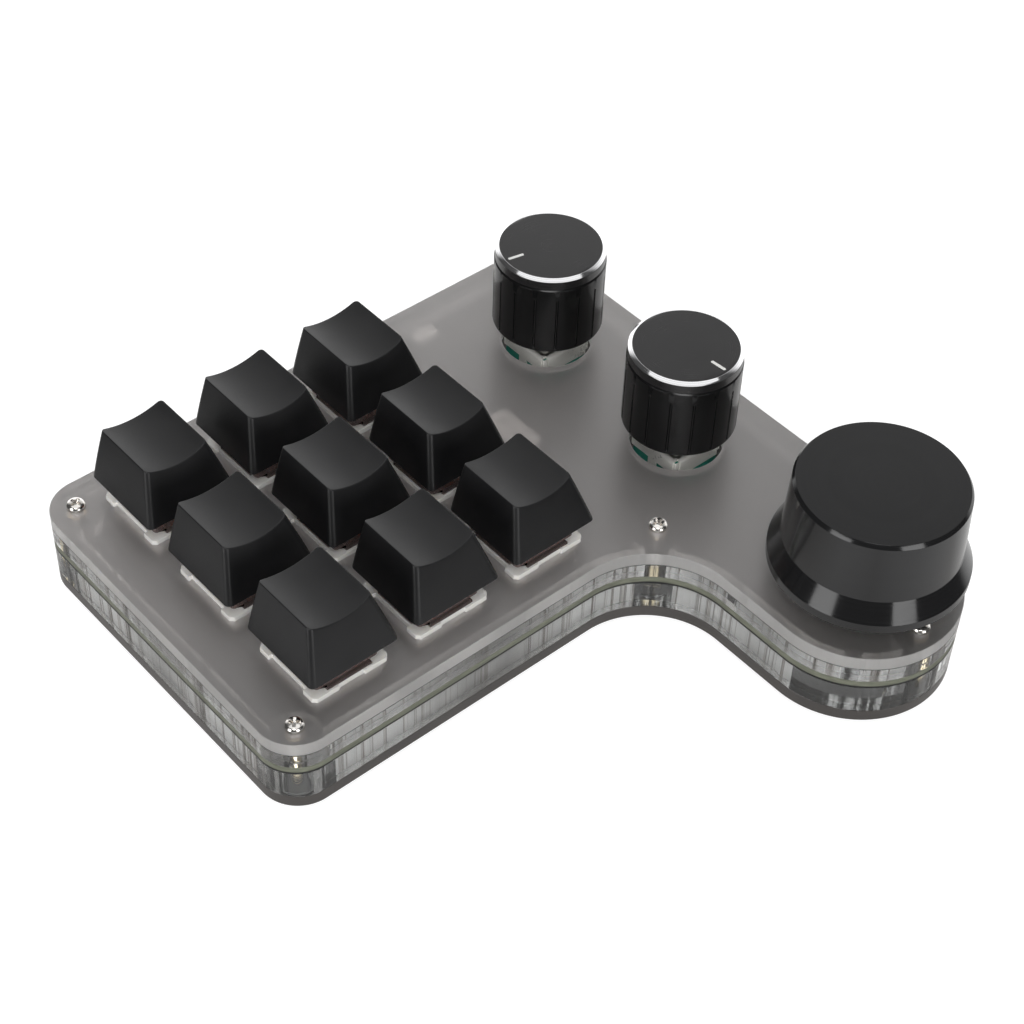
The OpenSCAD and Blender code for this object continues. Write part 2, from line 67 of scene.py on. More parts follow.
# ---------------------------------------------------------------- sizes, in millimetres
Z_BOTTOM, Z_LOWER, Z_PCB, Z_UPPER, Z_TOP, Z_FACE = 2.0, 4.5, 10.5, 12.1, 15.1, 17.9
HW, HD = 58.85, 61.9
BLOCK_FRONT = -12.7
ARM_LEFT = 23.05
ARM_C, ARM_R = (40.95, -44.0), 17.9
INNER_C, INNER_R = (6.85, -28.9), 16.2
CORNER = 7.5
WALL = 2.8
GAP = 0.012                                  # air between two sheets that lie on each other
SCREWS = [(-53.6, 56.1), (-53.65, -8.0), (22.7, -12.3), (40.75, -57.9), (53.65, 56.1)]
FEET = [(-46.85, 47.9), (-46.85, -1.7), (46.85, 47.9), (40.95, -45.5)]
KEYS = {n: (-40.72 + 21.6 * ((n - 1) % 3), 47.1 - 22.9 * ((n - 1) // 3)) for n in range(1, 10)}
ENC = [(41.15, 38.45), (41.15, 2.3), (41.15, -44.3)]
E_TOP, BUSH_TOP, SHAFT_TOP = 19.1, 24.1, 34.1
SMALL_Z, BIG_Z, CAP_Z = 23.2, 24.0, 23.4


# ---------------------------------------------------------------- shape helpers
def arc(cx, cy, r, a0, a1, n):
    """n + 1 points from angle a0 to a1, in degrees."""
    return [(cx + r * math.cos(math.radians(a0 + (a1 - a0) * i / n)),
             cy + r * math.sin(math.radians(a0 + (a1 - a0) * i / n))) for i in range(n + 1)]


def plan(d, fine=1):
    """Outline of the plates, moved inwards by d, counter-clockwise."""
    r = max(CORNER - d, 0.4)
    x, y = HW - d, HD - d
    loop = arc(x - r, y - r, r, 0, 90, 28 * fine)
    loop += arc(-x + r, y - r, r, 90, 180, 28 * fine)
    loop += arc(-x + r, BLOCK_FRONT + d + r, r, 180, 270, 28 * fine)
    loop += arc(INNER_C[0], INNER_C[1], INNER_R + d, 90, 0, 44 * fine)
    loop += arc(ARM_C[0], ARM_C[1], ARM_R - d, 180, 360, 96 * fine)
    return loop


def circle(cx, cy, r, n=48):
    """Loop maker for a round hole: grows by d."""
    return lambda d=0.0: [(cx + (r + d) * math.cos(2 * math.pi * i / n), cy + (r + d) * math.sin(2 * math.pi * i / n)) for i in range(n)]


def polygon(points, r=0.0, n=4, at=(0, 0)):
    """Loop maker for a counter-clockwise polygon with its corners rounded to r; d moves it outwards."""
    k = len(points)

    def loop(d=0.0):
        off = []
        for i in range(k):
            p0, p1, p2 = (Vector(points[(i + j) % k]) for j in (-1, 0, 1))
            e0, e1 = (p1 - p0).normalized(), (p2 - p1).normalized()
            n0, n1 = Vector((e0.y, -e0.x)), Vector((e1.y, -e1.x))
            s = (n0 + n1) / max(1 + n0.dot(n1), 1e-6)
            off.append((p1 + s * d, e0, e1))
        out = []
        for i in range(k):
            p, e0, e1 = off[i]
            cross = e0.x * e1.y - e0.y * e1.x
            turn = math.acos(max(-1, min(1, e0.dot(e1))))
            rr = max(r + (d if cross > 0 else -d), 0.02) if r > 0 else 0.0
            if rr <= 0 or turn < 1e-3:
                out += [(p.x + at[0], p.y + at[1])]
                continue
            t = rr * math.tan(turn / 2)
            a, b = p - e0 * t, p + e1 * t
            side = Vector((-e0.y, e0.x)) * (1 if cross > 0 else -1)
            c = a + side * rr
            a0 = math.atan2(a.y - c.y, a.x - c.x)
            for j in range(n + 1):
                ang = a0 + (turn if cross > 0 else -turn) * j / n
                out.append((c.x + rr * math.cos(ang) + at[0], c.y + rr * math.sin(ang) + at[1]))
        return out
    return loop


def rect(w, h, r=0.0, n=4, at=(0, 0), c=(0, 0)):
    return polygon([(c[0] - w / 2, c[1] - h / 2), (c[0] + w / 2, c[1] - h / 2), (c[0] + w / 2, c[1] + h / 2), (c[0] - w / 2, c[1] + h / 2)], r, n, at)


class Shape:
    """Vertices in millimetres and faces with a material number, gathered into one piece."""

    def __init__(self):
        self.v, self.f, self.m = [], [], []

    def add(self, verts, faces, mat=0):
        base = len(self.v)
        self.v += [tuple(p) for p in verts]
        self.f += [tuple(i + base for i in f) for f in faces]
        self.m += [mat] * len(faces) if isinstance(mat, int) else list(mat)
        return base

    def merge(self, other, at=(0, 0, 0), turn=0.0, flip=False):
        c, s = math.cos(math.radians(turn)), math.sin(math.radians(turn))
        pts = []
        for x, y, z in other.v:
            x, y = c * x - s * y, s * x + c * y
            if flip:
                y, z = -y, -z
            pts.append((x + at[0], y + at[1], z + at[2]))
        self.add(pts, other.f, other.m)

    # walls between two loops of the same length
    def bridge(self, a, b, mat=0, closed=True):
        n = len(a)
        base = self.add(list(a) + list(b), [])
        last = n if closed else n - 1
        self.f += [(base + i, base + (i + 1) % n, base + n + (i + 1) % n, base + n + i) for i in range(last)]
        self.m += [mat] * last

    def rings(self, loops, mat=0, closed=True, cap0=False, cap1=False):
        """Skin over a stack of loops; mat is one number or one for each band."""
        n = len(loops[0])
        base = self.add([p for l in loops for p in l], [])
        for k in range(len(loops) - 1):
            mk = mat if isinstance(mat, int) else mat[k]
            for i in range(n if closed else n - 1):
                j = (i + 1) % n
                self.f.append((base + k * n + i, base + k * n + j, base + (k + 1) * n + j, base + (k + 1) * n + i))
                self.m.append(mk)
        for cap, k in ((cap0, 0), (cap1, len(loops) - 1)):
            if cap:
                self.f.append(tuple(base + k * n + i for i in range(n)))
                self.m.append(mat if isinstance(mat, int) else mat[min(k, len(mat) - 1)])

    def sheet(self, loops, z, mat=0):
        """Flat face at z bounded by the first loop, with the others as holes."""
        pts = [[Vector((x, y, 0)) for x, y in l] for l in loops]
        flat = [(p.x, p.y, z) for l in pts for p in l]
        tris = tessellate_polygon(pts)
        self.add(flat, [t for t in tris if len(set(t)) == 3], mat)

    def slab(self, outer, holes, z0, z1, b=0.1, n=2, mats=(0, 0, 0), b0=None):
        """Plate from z0 to z1: outer(d) and hole(d) make loops, moved outwards by d. mats: top, edge, bottom, hole walls."""
        b0 = b if b0 is None else b0
        levels = []
        for k in range(n + 1):
            t = math.pi / 2 * k / n
            levels.append((b0 * (1 - math.sin(t)), z0 + b0 * (1 - math.cos(t))))
        for k in range(n, -1, -1):
            t = math.pi / 2 * k / n
            levels.append((b * (1 - math.sin(t)), z1 - b * (1 - math.cos(t))))
        self.rings([[(x, y, z) for x, y in outer(-d)] for d, z in levels], mats[1])
        for h in holes:
            self.rings([[(x, y, z) for x, y in reversed(h(d))] for d, z in levels], mats[-1] if len(mats) > 3 else mats[1])
        self.sheet([outer(-b)] + [h(b) for h in holes], z1, mats[0])
        self.sheet([outer(-b0)] + [h(b0) for h in holes], z0, mats[2])

    def lathe(self, profile, at=(0, 0), seg=96, mat=0, closed=False):
        """Turned solid. profile: (radius, z) points; it starts and ends on the axis unless closed."""
        c = [math.cos(2 * math.pi * i / seg) for i in range(seg)]
        s = [math.sin(2 * math.pi * i / seg) for i in range(seg)]
        rows, base = [], len(self.v)
        mats = [mat] * len(profile) if isinstance(mat, int) else list(mat)
        for r, z in profile:
            if r < 1e-6:
                self.v.append((at[0], at[1], z))
                rows.append([len(self.v) - 1])
            else:
                start = len(self.v)
                self.v += [(at[0] + r * c[i], at[1] + r * s[i], z) for i in range(seg)]
                rows.append(list(range(start, start + seg)))
        pairs = list(zip(range(len(rows) - 1), range(1, len(rows))))
        if closed:
            pairs.append((len(rows) - 1, 0))
        for a, b in pairs:
            ra, rb, mk = rows[a], rows[b], mats[a]
            for i in range(seg):
                j = (i + 1) % seg
                if len(ra) == 1 and len(rb) == 1:
                    break
                if len(ra) == 1:
                    self.f.append((ra[0], rb[j], rb[i]))
                elif len(rb) == 1:
                    self.f.append((ra[i], ra[j], rb[0]))
                else:
                    self.f.append((ra[i], ra[j], rb[j], rb[i]))
                self.m.append(mk)

    def box(self, x0, x1, y0, y1, z0, z1, b=0.1, mat=0, n=2):
        """Box with rounded edges all round."""
        w, h = x1 - x0, y1 - y0
        b = min(b, w * 0.45, h * 0.45, (z1 - z0) * 0.45)
        cx, cy = (x0 + x1) / 2, (y0 + y1) / 2
        loop = rect(w, h, b * 1.001, n + 1, (cx, cy))
        levels = []
        for k in range(n + 1):
            t = math.pi / 2 * k / n
            levels.append((b * (1 - math.sin(t)), z0 + b * (1 - math.cos(t))))
        for k in range(n, -1, -1):
            t = math.pi / 2 * k / n
            levels.append((b * (1 - math.sin(t)), z1 - b * (1 - math.cos(t))))
        self.rings([[(x, y, z) for x, y in loop(-d)] for d, z in levels], mat, cap0=True, cap1=True)

    def tube(self, points, r, sides=8, mat=0):
        """Round wire along points, with closed ends."""
        pts = [Vector(p) for p in points]
        side = None
        rings = []
        for i, p in enumerate(pts):
            t = (pts[min(i + 1, len(pts) - 1)] - pts[max(i - 1, 0)]).normalized()
            if side is None:
                side = t.orthogonal().normalized()
            side = (side - t * side.dot(t)).normalized()
            up = t.cross(side)
            rings.append([tuple(p + (side * math.cos(2 * math.pi * k / sides) + up * math.sin(2 * math.pi * k / sides)) * r) for k in range(sides)])
        self.rings(rings, mat, cap0=True, cap1=True)

    def object(self, name, body, mats, nodes=(), slot=None, sharp=40, weld=0.0005, weighted=True, flip_check=True):
        mesh = bpy.data.meshes.new(name)
        mesh.from_pydata([(x * 0.001, y * 0.001, z * 0.001) for x, y, z in self.v], [], self.f)
        for mt in mats:
            mesh.materials.append(mt)
        mesh.polygons.foreach_set("material_index", self.m)
        bm = bmesh.new()
        bm.from_mesh(mesh)
        bmesh.ops.remove_doubles(bm, verts=bm.verts, dist=weld * 0.001)
        bmesh.ops.dissolve_degenerate(bm, dist=1e-7, edges=bm.edges)
        loose = [v for v in bm.verts if not v.link_faces]
        if loose:
            bmesh.ops.delete(bm, geom=loose, context="VERTS")
        if flip_check:
            bmesh.ops.recalc_face_normals(bm, faces=bm.faces)
        for f in bm.faces:
            f.smooth = True
        bm.to_mesh(mesh)
        bm.free()
        mesh.update()
        mesh.set_sharp_from_angle(angle=math.radians(sharp))
        obj = bpy.data.objects.new(name, mesh)
        scene.collection.objects.link(obj)
        if weighted:
            w = obj.modifiers.new("normals", "WEIGHTED_NORMAL")
            w.keep_sharp = True
            w.weight = 100
        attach(obj, body)
        if nodes:
            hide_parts(*([nodes] if isinstance(nodes, str) else nodes))
        return obj


def fillet(points, n=4):
    """Profile with rounded corners. points: (r, z) or (r, z, radius)."""
    out = []
    k = len(points)
    for i, p in enumerate(points):
        rad = p[2] if len(p) > 2 else 0
        if rad <= 0 or i in (0, k - 1):
            out.append((p[0], p[1]))
            continue
        a, b, c = Vector(points[i - 1][:2]), Vector(p[:2]), Vector(points[i + 1][:2])
        e0, e1 = (b - a), (c - b)
        l0, l1 = e0.length, e1.length
        e0.normalize(), e1.normalize()
        turn = math.acos(max(-1, min(1, e0.dot(e1))))
        if turn < 1e-3:
            out.append((b.x, b.y))
            continue
        t = min(rad * math.tan(turn / 2), l0 * 0.49, l1 * 0.49)
        rr = t / math.tan(turn / 2)
        s = 1 if e0.x * e1.y - e0.y * e1.x > 0 else -1
        start = b - e0 * t
        cen = start + Vector((-e0.y, e0.x)) * s * rr
        a0 = math.atan2(start.y - cen.y, start.x - cen.x)
        for j in range(n + 1):
            ang = a0 + s * turn * j / n
            out.append((cen.x + rr * math.cos(ang), cen.y + rr * math.sin(ang)))
    return out


# ---------------------------------------------------------------- materials
class Mat:
    """A Principled material with a few nodes to vary it. Coordinates are the object's own, in metres."""

    def __init__(self, name, **values):
        self.mat = bpy.data.materials.new(name)
        self.mat.use_nodes = True
        self.nt = self.mat.node_tree
        self.p = self.nt.nodes["Principled BSDF"]
        self.out = self.nt.nodes["Material Output"]
        self.co = self.node("ShaderNodeTexCoord").outputs["Object"]
        for k, v in values.items():
            self.set(k.replace("_", " "), v)

    def node(self, kind, **props):
        n = self.nt.nodes.new(kind)
        for k, v in props.items():
            setattr(n, k, v)
        return n

    def link(self, a, b):
        self.nt.links.new(a, b)

    def set(self, socket, value):
        s = self.p.inputs[socket]
        if hasattr(value, "is_linked"):
            self.link(value, s)
        elif isinstance(value, (tuple, list)) and len(value) == 3 and s.type == "RGBA":
            s.default_value = (*value, 1.0)
        else:
            s.default_value = value

    def mapping(self, scale=(1, 1, 1), loc=(0, 0, 0), rot=(0, 0, 0)):
        n = self.node("ShaderNodeMapping")
        n.inputs["Scale"].default_value = scale
        n.inputs["Location"].default_value = loc
        n.inputs["Rotation"].default_value = rot
        self.link(self.co, n.inputs["Vector"])
        return n.outputs[0]

    def noise(self, scale, detail=3.0, rough=0.5, co=None, dist=0.0):
        n = self.node("ShaderNodeTexNoise")
        n.inputs["Scale"].default_value = scale
        n.inputs["Detail"].default_value = detail
        n.inputs["Roughness"].default_value = rough
        n.inputs["Distortion"].default_value = dist
        self.link(co or self.co, n.inputs["Vector"])
        return n.outputs["Fac"]

    def ramp(self, fac, stops):
        n = self.node("ShaderNodeValToRGB")
        e = n.color_ramp.elements
        while len(e) < len(stops):
            e.new(0.5)
        for i, (pos, col) in enumerate(stops):
            e[i].position = pos
            e[i].color = (*col, 1.0) if len(col) == 3 else col
        self.link(fac, n.inputs["Fac"])
        return n.outputs["Color"]

    def span(self, fac, a0, a1, b0, b1):
        n = self.node("ShaderNodeMapRange")
        for k, v in (("From Min", a0), ("From Max", a1), ("To Min", b0), ("To Max", b1)):
            n.inputs[k].default_value = v
        self.link(fac, n.inputs["Value"])
        return n.outputs[0]

    def mix(self, fac, a, b):
        n = self.node("ShaderNodeMix", data_type="RGBA")
        for s, v in ((n.inputs[0], fac), (n.inputs[6], a), (n.inputs[7], b)):
            if hasattr(v, "is_linked"):
                self.link(v, s)
            elif isinstance(v, (tuple, list)):
                s.default_value = (*v, 1.0)
            else:
                s.default_value = v
        return n.outputs[2]

    def math(self, op, a, b=None, c=None):
        n = self.node("ShaderNodeMath", operation=op)
        for s, v in zip(n.inputs, (a, b, c)):
            if v is None:
                continue
            if hasattr(v, "is_linked"):
                self.link(v, s)
            else:
                s.default_value = v
        return n.outputs[0]

    def bump(self, height, strength=0.2, dist=0.0001, normal=None):
        n = self.node("ShaderNodeBump")
        n.inputs["Strength"].default_value = strength
        n.inputs["Distance"].default_value = dist
        self.link(height, n.inputs["Height"])
        if normal is not None:
            self.link(normal, n.inputs["Normal"])
        self.link(n.outputs[0], self.p.inputs["Normal"])
        return n.outputs[0]

    def xyz(self, co=None):
        n = self.node("ShaderNodeSeparateXYZ")
        self.link(co or self.co, n.inputs[0])
        return n.outputs

    def normal_z(self):
        g = self.node("ShaderNodeNewGeometry")
        n = self.node("ShaderNodeSeparateXYZ")
        self.link(g.outputs["True Normal"], n.inputs[0])
        return n.outputs[2]


def mat_keycap():
    a = Mat("keycap_black", IOR=1.5)
    a.set("Specular IOR Level", 0.40)
    grain = a.noise(5200, 2.0, 0.6)
    broad = a.noise(130, 3.0, 0.5)
    a.set("Base Color", a.ramp(broad, [(0.3, (0.0072, 0.0072, 0.0079)), (0.7, (0.0100, 0.0099, 0.0106))]))
    a.set("Roughness", a.math("ADD", a.span(broad, 0.3, 0.7, 0.37, 0.46), a.span(grain, 0.3, 0.7, -0.03, 0.03)))
    a.bump(grain, 0.16, 0.00004)
    return a.mat


def mat_knob_body():
    a = Mat("knob_gloss_black", IOR=1.5)
    a.set("Specular IOR Level", 0.32)
    broad = a.noise(220, 3.0, 0.55)
    fine = a.noise(2600, 2.0, 0.5, co=a.mapping(scale=(1, 1, 0.12)))
    a.set("Base Color", a.ramp(broad, [(0.35, (0.0055, 0.0055, 0.0058)), (0.7, (0.0078, 0.0078, 0.0081))]))
    a.set("Roughness", a.math("ADD", a.span(broad, 0.3, 0.7, 0.15, 0.22), a.span(fine, 0.3, 0.7, -0.02, 0.02)))
    a.bump(fine, 0.05, 0.00003)
    return a.mat


def turned(name, base, rough, centre, rings=9000, strength=0.06, metallic=0.0, aniso=0.0, spec=0.5, tint=None, z=0.0):
    """Turned surface: fine rings about the knob's own axis."""
    a = Mat(name, Metallic=metallic, IOR=1.5, Anisotropic=aniso)
    a.set("Specular IOR Level", spec)
    here = a.mapping(loc=(-centre[0] * 0.001, -centre[1] * 0.001, z))
    x, y, zz = a.xyz(here)
    r = a.math("SQRT", a.math("ADD", a.math("MULTIPLY", x, x), a.math("MULTIPLY", y, y)))
    comb = a.node("ShaderNodeCombineXYZ")
    a.link(r, comb.inputs[0])
    a.link(zz, comb.inputs[2])
    lines = a.noise(rings, 4.0, 0.75, co=comb.outputs[0])
    soft = a.noise(160, 2.0, 0.5)
    c0, c1 = tuple(0.82 * c for c in base), tuple(1.2 * c for c in base)
    a.set("Base Color", a.ramp(lines, [(0.35, c0), (0.65, tint or c1)]))
    a.set("Roughness", a.math("ADD", a.span(soft, 0.3, 0.7, rough - 0.03, rough + 0.03), a.span(lines, 0.3, 0.7, -0.04, 0.04)))
    a.bump(lines, strength, 0.00003)
    if aniso:
        t = a.node("ShaderNodeTangent", direction_type="RADIAL", axis="Z")
        a.link(t.outputs[0], a.p.inputs["Tangent"])
    return a.mat


def mat_frosted(name, base, rough, through, coat=0.0):
    """Satin acrylic that scatters what lies behind it. Its colour holds painted light, lighter at the back and left,
    and painted shade, darker at the front corner and the arm's end.
    """
    a = Mat(name, IOR=1.49)
    grain = a.noise(4200, 2.0, 0.6)
    broad = a.noise(60, 3.0, 0.5)
    x, y, _ = a.xyz()
    # painted light: the colour grows lighter towards the back and the left
    lit_back_left = a.span(a.math("SUBTRACT", a.math("MULTIPLY", y, 0.75), a.math("MULTIPLY", x, 0.75)), -0.075, 0.075, 0.0, 1.0)
    back = a.span(a.math("ADD", x, y), 0.040, 0.095, 0.0, 1.0)
    shade = a.mix(a.math("MAXIMUM", lit_back_left, back), tuple(c * 0.78 for c in base), base)
    # painted shade: darker at the front corner and at the arm's end by the big knob
    front = a.span(a.math("ADD", x, y), -0.072, -0.034, 0.75, 0.0)
    arm = a.span(a.math("SUBTRACT", y, x), -0.106, -0.070, 0.90, 0.0)
    shade = a.mix(a.math("MAXIMUM", front, arm), shade, (0.42, 0.405, 0.395))
    a.set("Base Color", a.mix(a.span(broad, 0.3, 0.7, 0.0, 0.04), shade, (0.5, 0.48, 0.46)))
    a.set("Roughness", a.span(broad, 0.3, 0.7, rough - 0.015, rough + 0.015))
    a.set("Transmission Weight", through)
    if coat:
        a.set("Coat Weight", 1.0)
        a.set("Coat Roughness", 0.46)
        a.set("Coat IOR", coat)
    a.bump(grain, 0.05, 0.00003)
    return a.mat


def mat_clear(name="clear_acrylic", tint=(0.95, 0.965, 0.958), streak=0.5, rough=0.006, through=0.985, gap_shadow_band=None):
    """Clear sheet. Its cut edge has the upright facets and fine lines that a laser leaves, stronger in some stretches.
    An optional band of heights in mm paints the wall near black, a painted shadow of the gap between two sheets.
    """
    a = Mat(name, IOR=1.49)
    a.set("Transmission Weight", through)
    upright = a.mapping(scale=(1, 1, 0))
    cells = a.node("ShaderNodeTexVoronoi", feature="F1")
    cells.inputs["Scale"].default_value = 560
    a.link(upright, cells.inputs["Vector"])
    fine = a.noise(2600, 3.0, 0.7, co=upright)
    zones = a.span(a.noise(70, 2.0, 0.5, co=upright), 0.44, 0.60, 0.12, 1.0)
    nz = a.normal_z()
    wall = a.math("SUBTRACT", 1.0, a.math("MULTIPLY", nz, nz))
    height = a.math("MULTIPLY", a.math("ADD", cells.outputs["Distance"], a.math("MULTIPLY", fine, 0.10)), a.math("MULTIPLY", zones, wall))
    colour = a.ramp(fine, [(0.3, tuple(c * 0.96 for c in tint)), (0.7, tint)])
    # painted shadow: the wall turns near black in a thin band of height, for the gap where two sheets meet
    if gap_shadow_band:
        colour = a.mix(a.math("MULTIPLY", a.span(a.xyz()[2], gap_shadow_band[0] * 0.001, gap_shadow_band[1] * 0.001, 1.0, 0.0), wall), colour, (0.03, 0.03, 0.03))
    a.set("Base Color", colour)
    a.set("Roughness", a.span(fine, 0.3, 0.75, rough, rough + 0.03))
    a.bump(height, streak, 0.0009)
    return a.mat


def mat_cut_wall():
    """Inner cut of a clear frame: white and dark upright streaks, partly the frosted marks of the cut and partly
    painted glints and painted dark reflections.
    """
    a = Mat("clear_acrylic_inner_cut", IOR=1.49)
    a.set("Transmission Weight", 0.15)
    upright = a.mapping(scale=(1, 1, 0))
    fine = a.noise(900, 3.0, 0.65, co=upright)
    stretch = a.noise(95, 2.0, 0.5, co=upright)
    mixed = a.math("ADD", a.math("MULTIPLY", fine, 0.55), a.math("MULTIPLY", stretch, 0.45))
    x, y, _ = a.xyz()
    near = None
    for sx, sy in SCREWS:
        dx, dy = a.math("SUBTRACT", x, sx * 0.001), a.math("SUBTRACT", y, sy * 0.001)
        d = a.math("SQRT", a.math("ADD", a.math("MULTIPLY", dx, dx), a.math("MULTIPLY", dy, dy)))
        near = d if near is None else a.math("MINIMUM", near, d)
    # white and dark bands: partly the cut's marks, partly painted glints and painted dark reflections
    streaks = a.ramp(mixed, [(0.36, (0.05, 0.042, 0.038)), (0.42, (0.42, 0.38, 0.35)), (0.46, (0.97, 0.96, 0.95)), (0.55, (0.98, 0.975, 0.965)), (0.575, (0.20, 0.17, 0.15)), (0.61, (0.94, 0.91, 0.88)), (0.66, (0.10, 0.085, 0.075))])
    wall = a.mix(a.span(near, 0.018, 0.034, 1.0, 0.25), (0.27, 0.26, 0.25), streaks)
    behind = a.math("MAXIMUM", a.span(y, 0.050, 0.054, 0.0, 0.9), a.span(x, 0.050, 0.054, 0.0, 0.9))
    a.set("Base Color", a.mix(behind, wall, (0.27, 0.26, 0.255)))
    a.set("Roughness", a.span(fine, 0.3, 0.7, 0.06, 0.20))
    a.bump(mixed, 0.6, 0.0006)
    return a.mat


def mat_plain(name, base, rough, grain=3000, amount=0.1, vary=0.12, metallic=0.0, **kw):
    a = Mat(name, Metallic=metallic, **kw)
    g = a.noise(grain, 2.0, 0.6)
    b = a.noise(max(grain / 14, 60), 3.0, 0.5)
    a.set("Base Color", a.ramp(b, [(0.3, tuple(c * (1 - vary) for c in base)), (0.7, tuple(min(c * (1 + vary), 1) for c in base))]))
    a.set("Roughness", a.math("ADD", a.span(b, 0.3, 0.7, rough - 0.04, rough + 0.04), a.span(g, 0.3, 0.7, -0.025, 0.025)))
    a.bump(g, amount, 0.00004)
    return a.mat


def mat_brushed(name, base, rough, scale=(1, 1, 0.06), grain=2400, amount=0.12, vary=0.1):
    a = Mat(name, Metallic=1.0)
    g = a.noise(grain, 3.0, 0.65, co=a.mapping(scale=scale))
    b = a.noise(210, 3.0, 0.5)
    a.set("Base Color", a.ramp(b, [(0.3, tuple(c * (1 - vary) for c in base)), (0.7, tuple(min(c * (1 + vary), 1) for c in base))]))
    a.set("Roughness", a.math("ADD", a.span(b, 0.3, 0.7, rough - 0.04, rough + 0.05), a.span(g, 0.3, 0.7, -0.05, 0.05)))
    a.bump(g, amount, 0.00003)
    return a.mat


def mat_board_edge():
    """Cut glass-fibre edge: fine fibres along it. Its lowest half millimetre is near black, partly the black solder
    mask and partly painted shadow of the gap beneath the board.
    """
    a = Mat("circuit_board_edge")
    weave = a.noise(1700, 3.0, 0.6, co=a.mapping(scale=(0.25, 0.25, 3.0)))
    b = a.noise(120, 2.0, 0.5)
    fibre = a.mix(a.span(weave, 0.35, 0.65, 0.0, 1.0), (0.100, 0.106, 0.076), a.ramp(b, [(0.35, (0.148, 0.158, 0.112)), (0.65, (0.198, 0.208, 0.156))]))
    # near black at the bottom of the edge: partly the black solder mask, partly painted shadow of the gap under the
    # board
    a.set("Base Color", a.mix(a.span(a.xyz()[2], 0.01090, 0.01100, 1.0, 0.0), fibre, (0.006, 0.006, 0.006)))
    a.set("Roughness", a.span(weave, 0.3, 0.7, 0.62, 0.48))
    a.bump(weave, 0.2, 0.00004)
    return a.mat


def mat_board_face():
    """Dark solder mask over copper tracks."""
    a = Mat("circuit_board_mask", IOR=1.5)
    brick = a.node("ShaderNodeTexBrick")
    brick.inputs["Scale"].default_value = 170
    brick.inputs["Mortar Size"].default_value = 0.035
    brick.inputs["Brick Width"].default_value = 0.85
    brick.inputs["Row Height"].default_value = 0.28
    brick.inputs["Color1"].default_value = (0.054, 0.050, 0.049, 1)
    brick.inputs["Color2"].default_value = (0.064, 0.060, 0.058, 1)
    brick.inputs["Mortar"].default_value = (0.092, 0.095, 0.086, 1)
    a.link(a.co, brick.inputs["Vector"])
    g = a.noise(900, 2.0, 0.5)
    a.set("Base Color", brick.outputs["Color"])
    a.set("Roughness", a.span(g, 0.3, 0.7, 0.24, 0.36))
    a.bump(a.math("ADD", a.math("MULTIPLY", brick.outputs["Fac"], 0.6), a.math("MULTIPLY", g, 0.25)), 0.18, 0.00005)
    return a.mat


def mat_dark_acrylic():
    a = Mat("dark_acrylic", IOR=1.49)
    lines = a.noise(620, 4.0, 0.7, co=a.mapping(scale=(1, 1, 0.05)))
    dust = a.noise(1500, 2.0, 0.6)
    a.set("Base Color", a.ramp(a.noise(80, 2.0, 0.5), [(0.3, (0.046, 0.042, 0.040)), (0.7, (0.058, 0.053, 0.050))]))
    a.set("Roughness", a.math("ADD", a.span(lines, 0.3, 0.7, 0.16, 0.24), a.span(dust, 0.3, 0.7, -0.02, 0.02)))
    a.bump(lines, 0.08, 0.00006)
    return a.mat


def mat_white_housing():
    a = Mat("switch_white", IOR=1.5)
    a.set("Subsurface Weight", 0.15)
    a.set("Subsurface Scale", 0.0008)
    a.set("Subsurface Radius", (1.0, 0.9, 0.7))
    b = a.noise(320, 3.0, 0.5)
    g = a.noise(3800, 2.0, 0.5)
    a.set("Base Color", a.ramp(b, [(0.3, (0.96, 0.935, 0.88)), (0.7, (0.98, 0.965, 0.925))]))
    a.set("Roughness", a.span(b, 0.3, 0.7, 0.30, 0.40))
    a.bump(g, 0.06, 0.00003)
    return a.mat


def mat_smoke():
    a = Mat("switch_smoke", IOR=1.56)
    a.set("Transmission Weight", 0.85)
    b = a.noise(420, 3.0, 0.5)
    g = a.noise(2600, 2.0, 0.5)
    a.set("Base Color", a.ramp(b, [(0.3, (0.60, 0.46, 0.44)), (0.7, (0.70, 0.56, 0.53))]))
    a.set("Roughness", a.math("ADD", a.span(b, 0.3, 0.7, 0.09, 0.16), a.span(g, 0.3, 0.7, -0.02, 0.02)))
    a.bump(g, 0.05, 0.00003)
    return a.mat


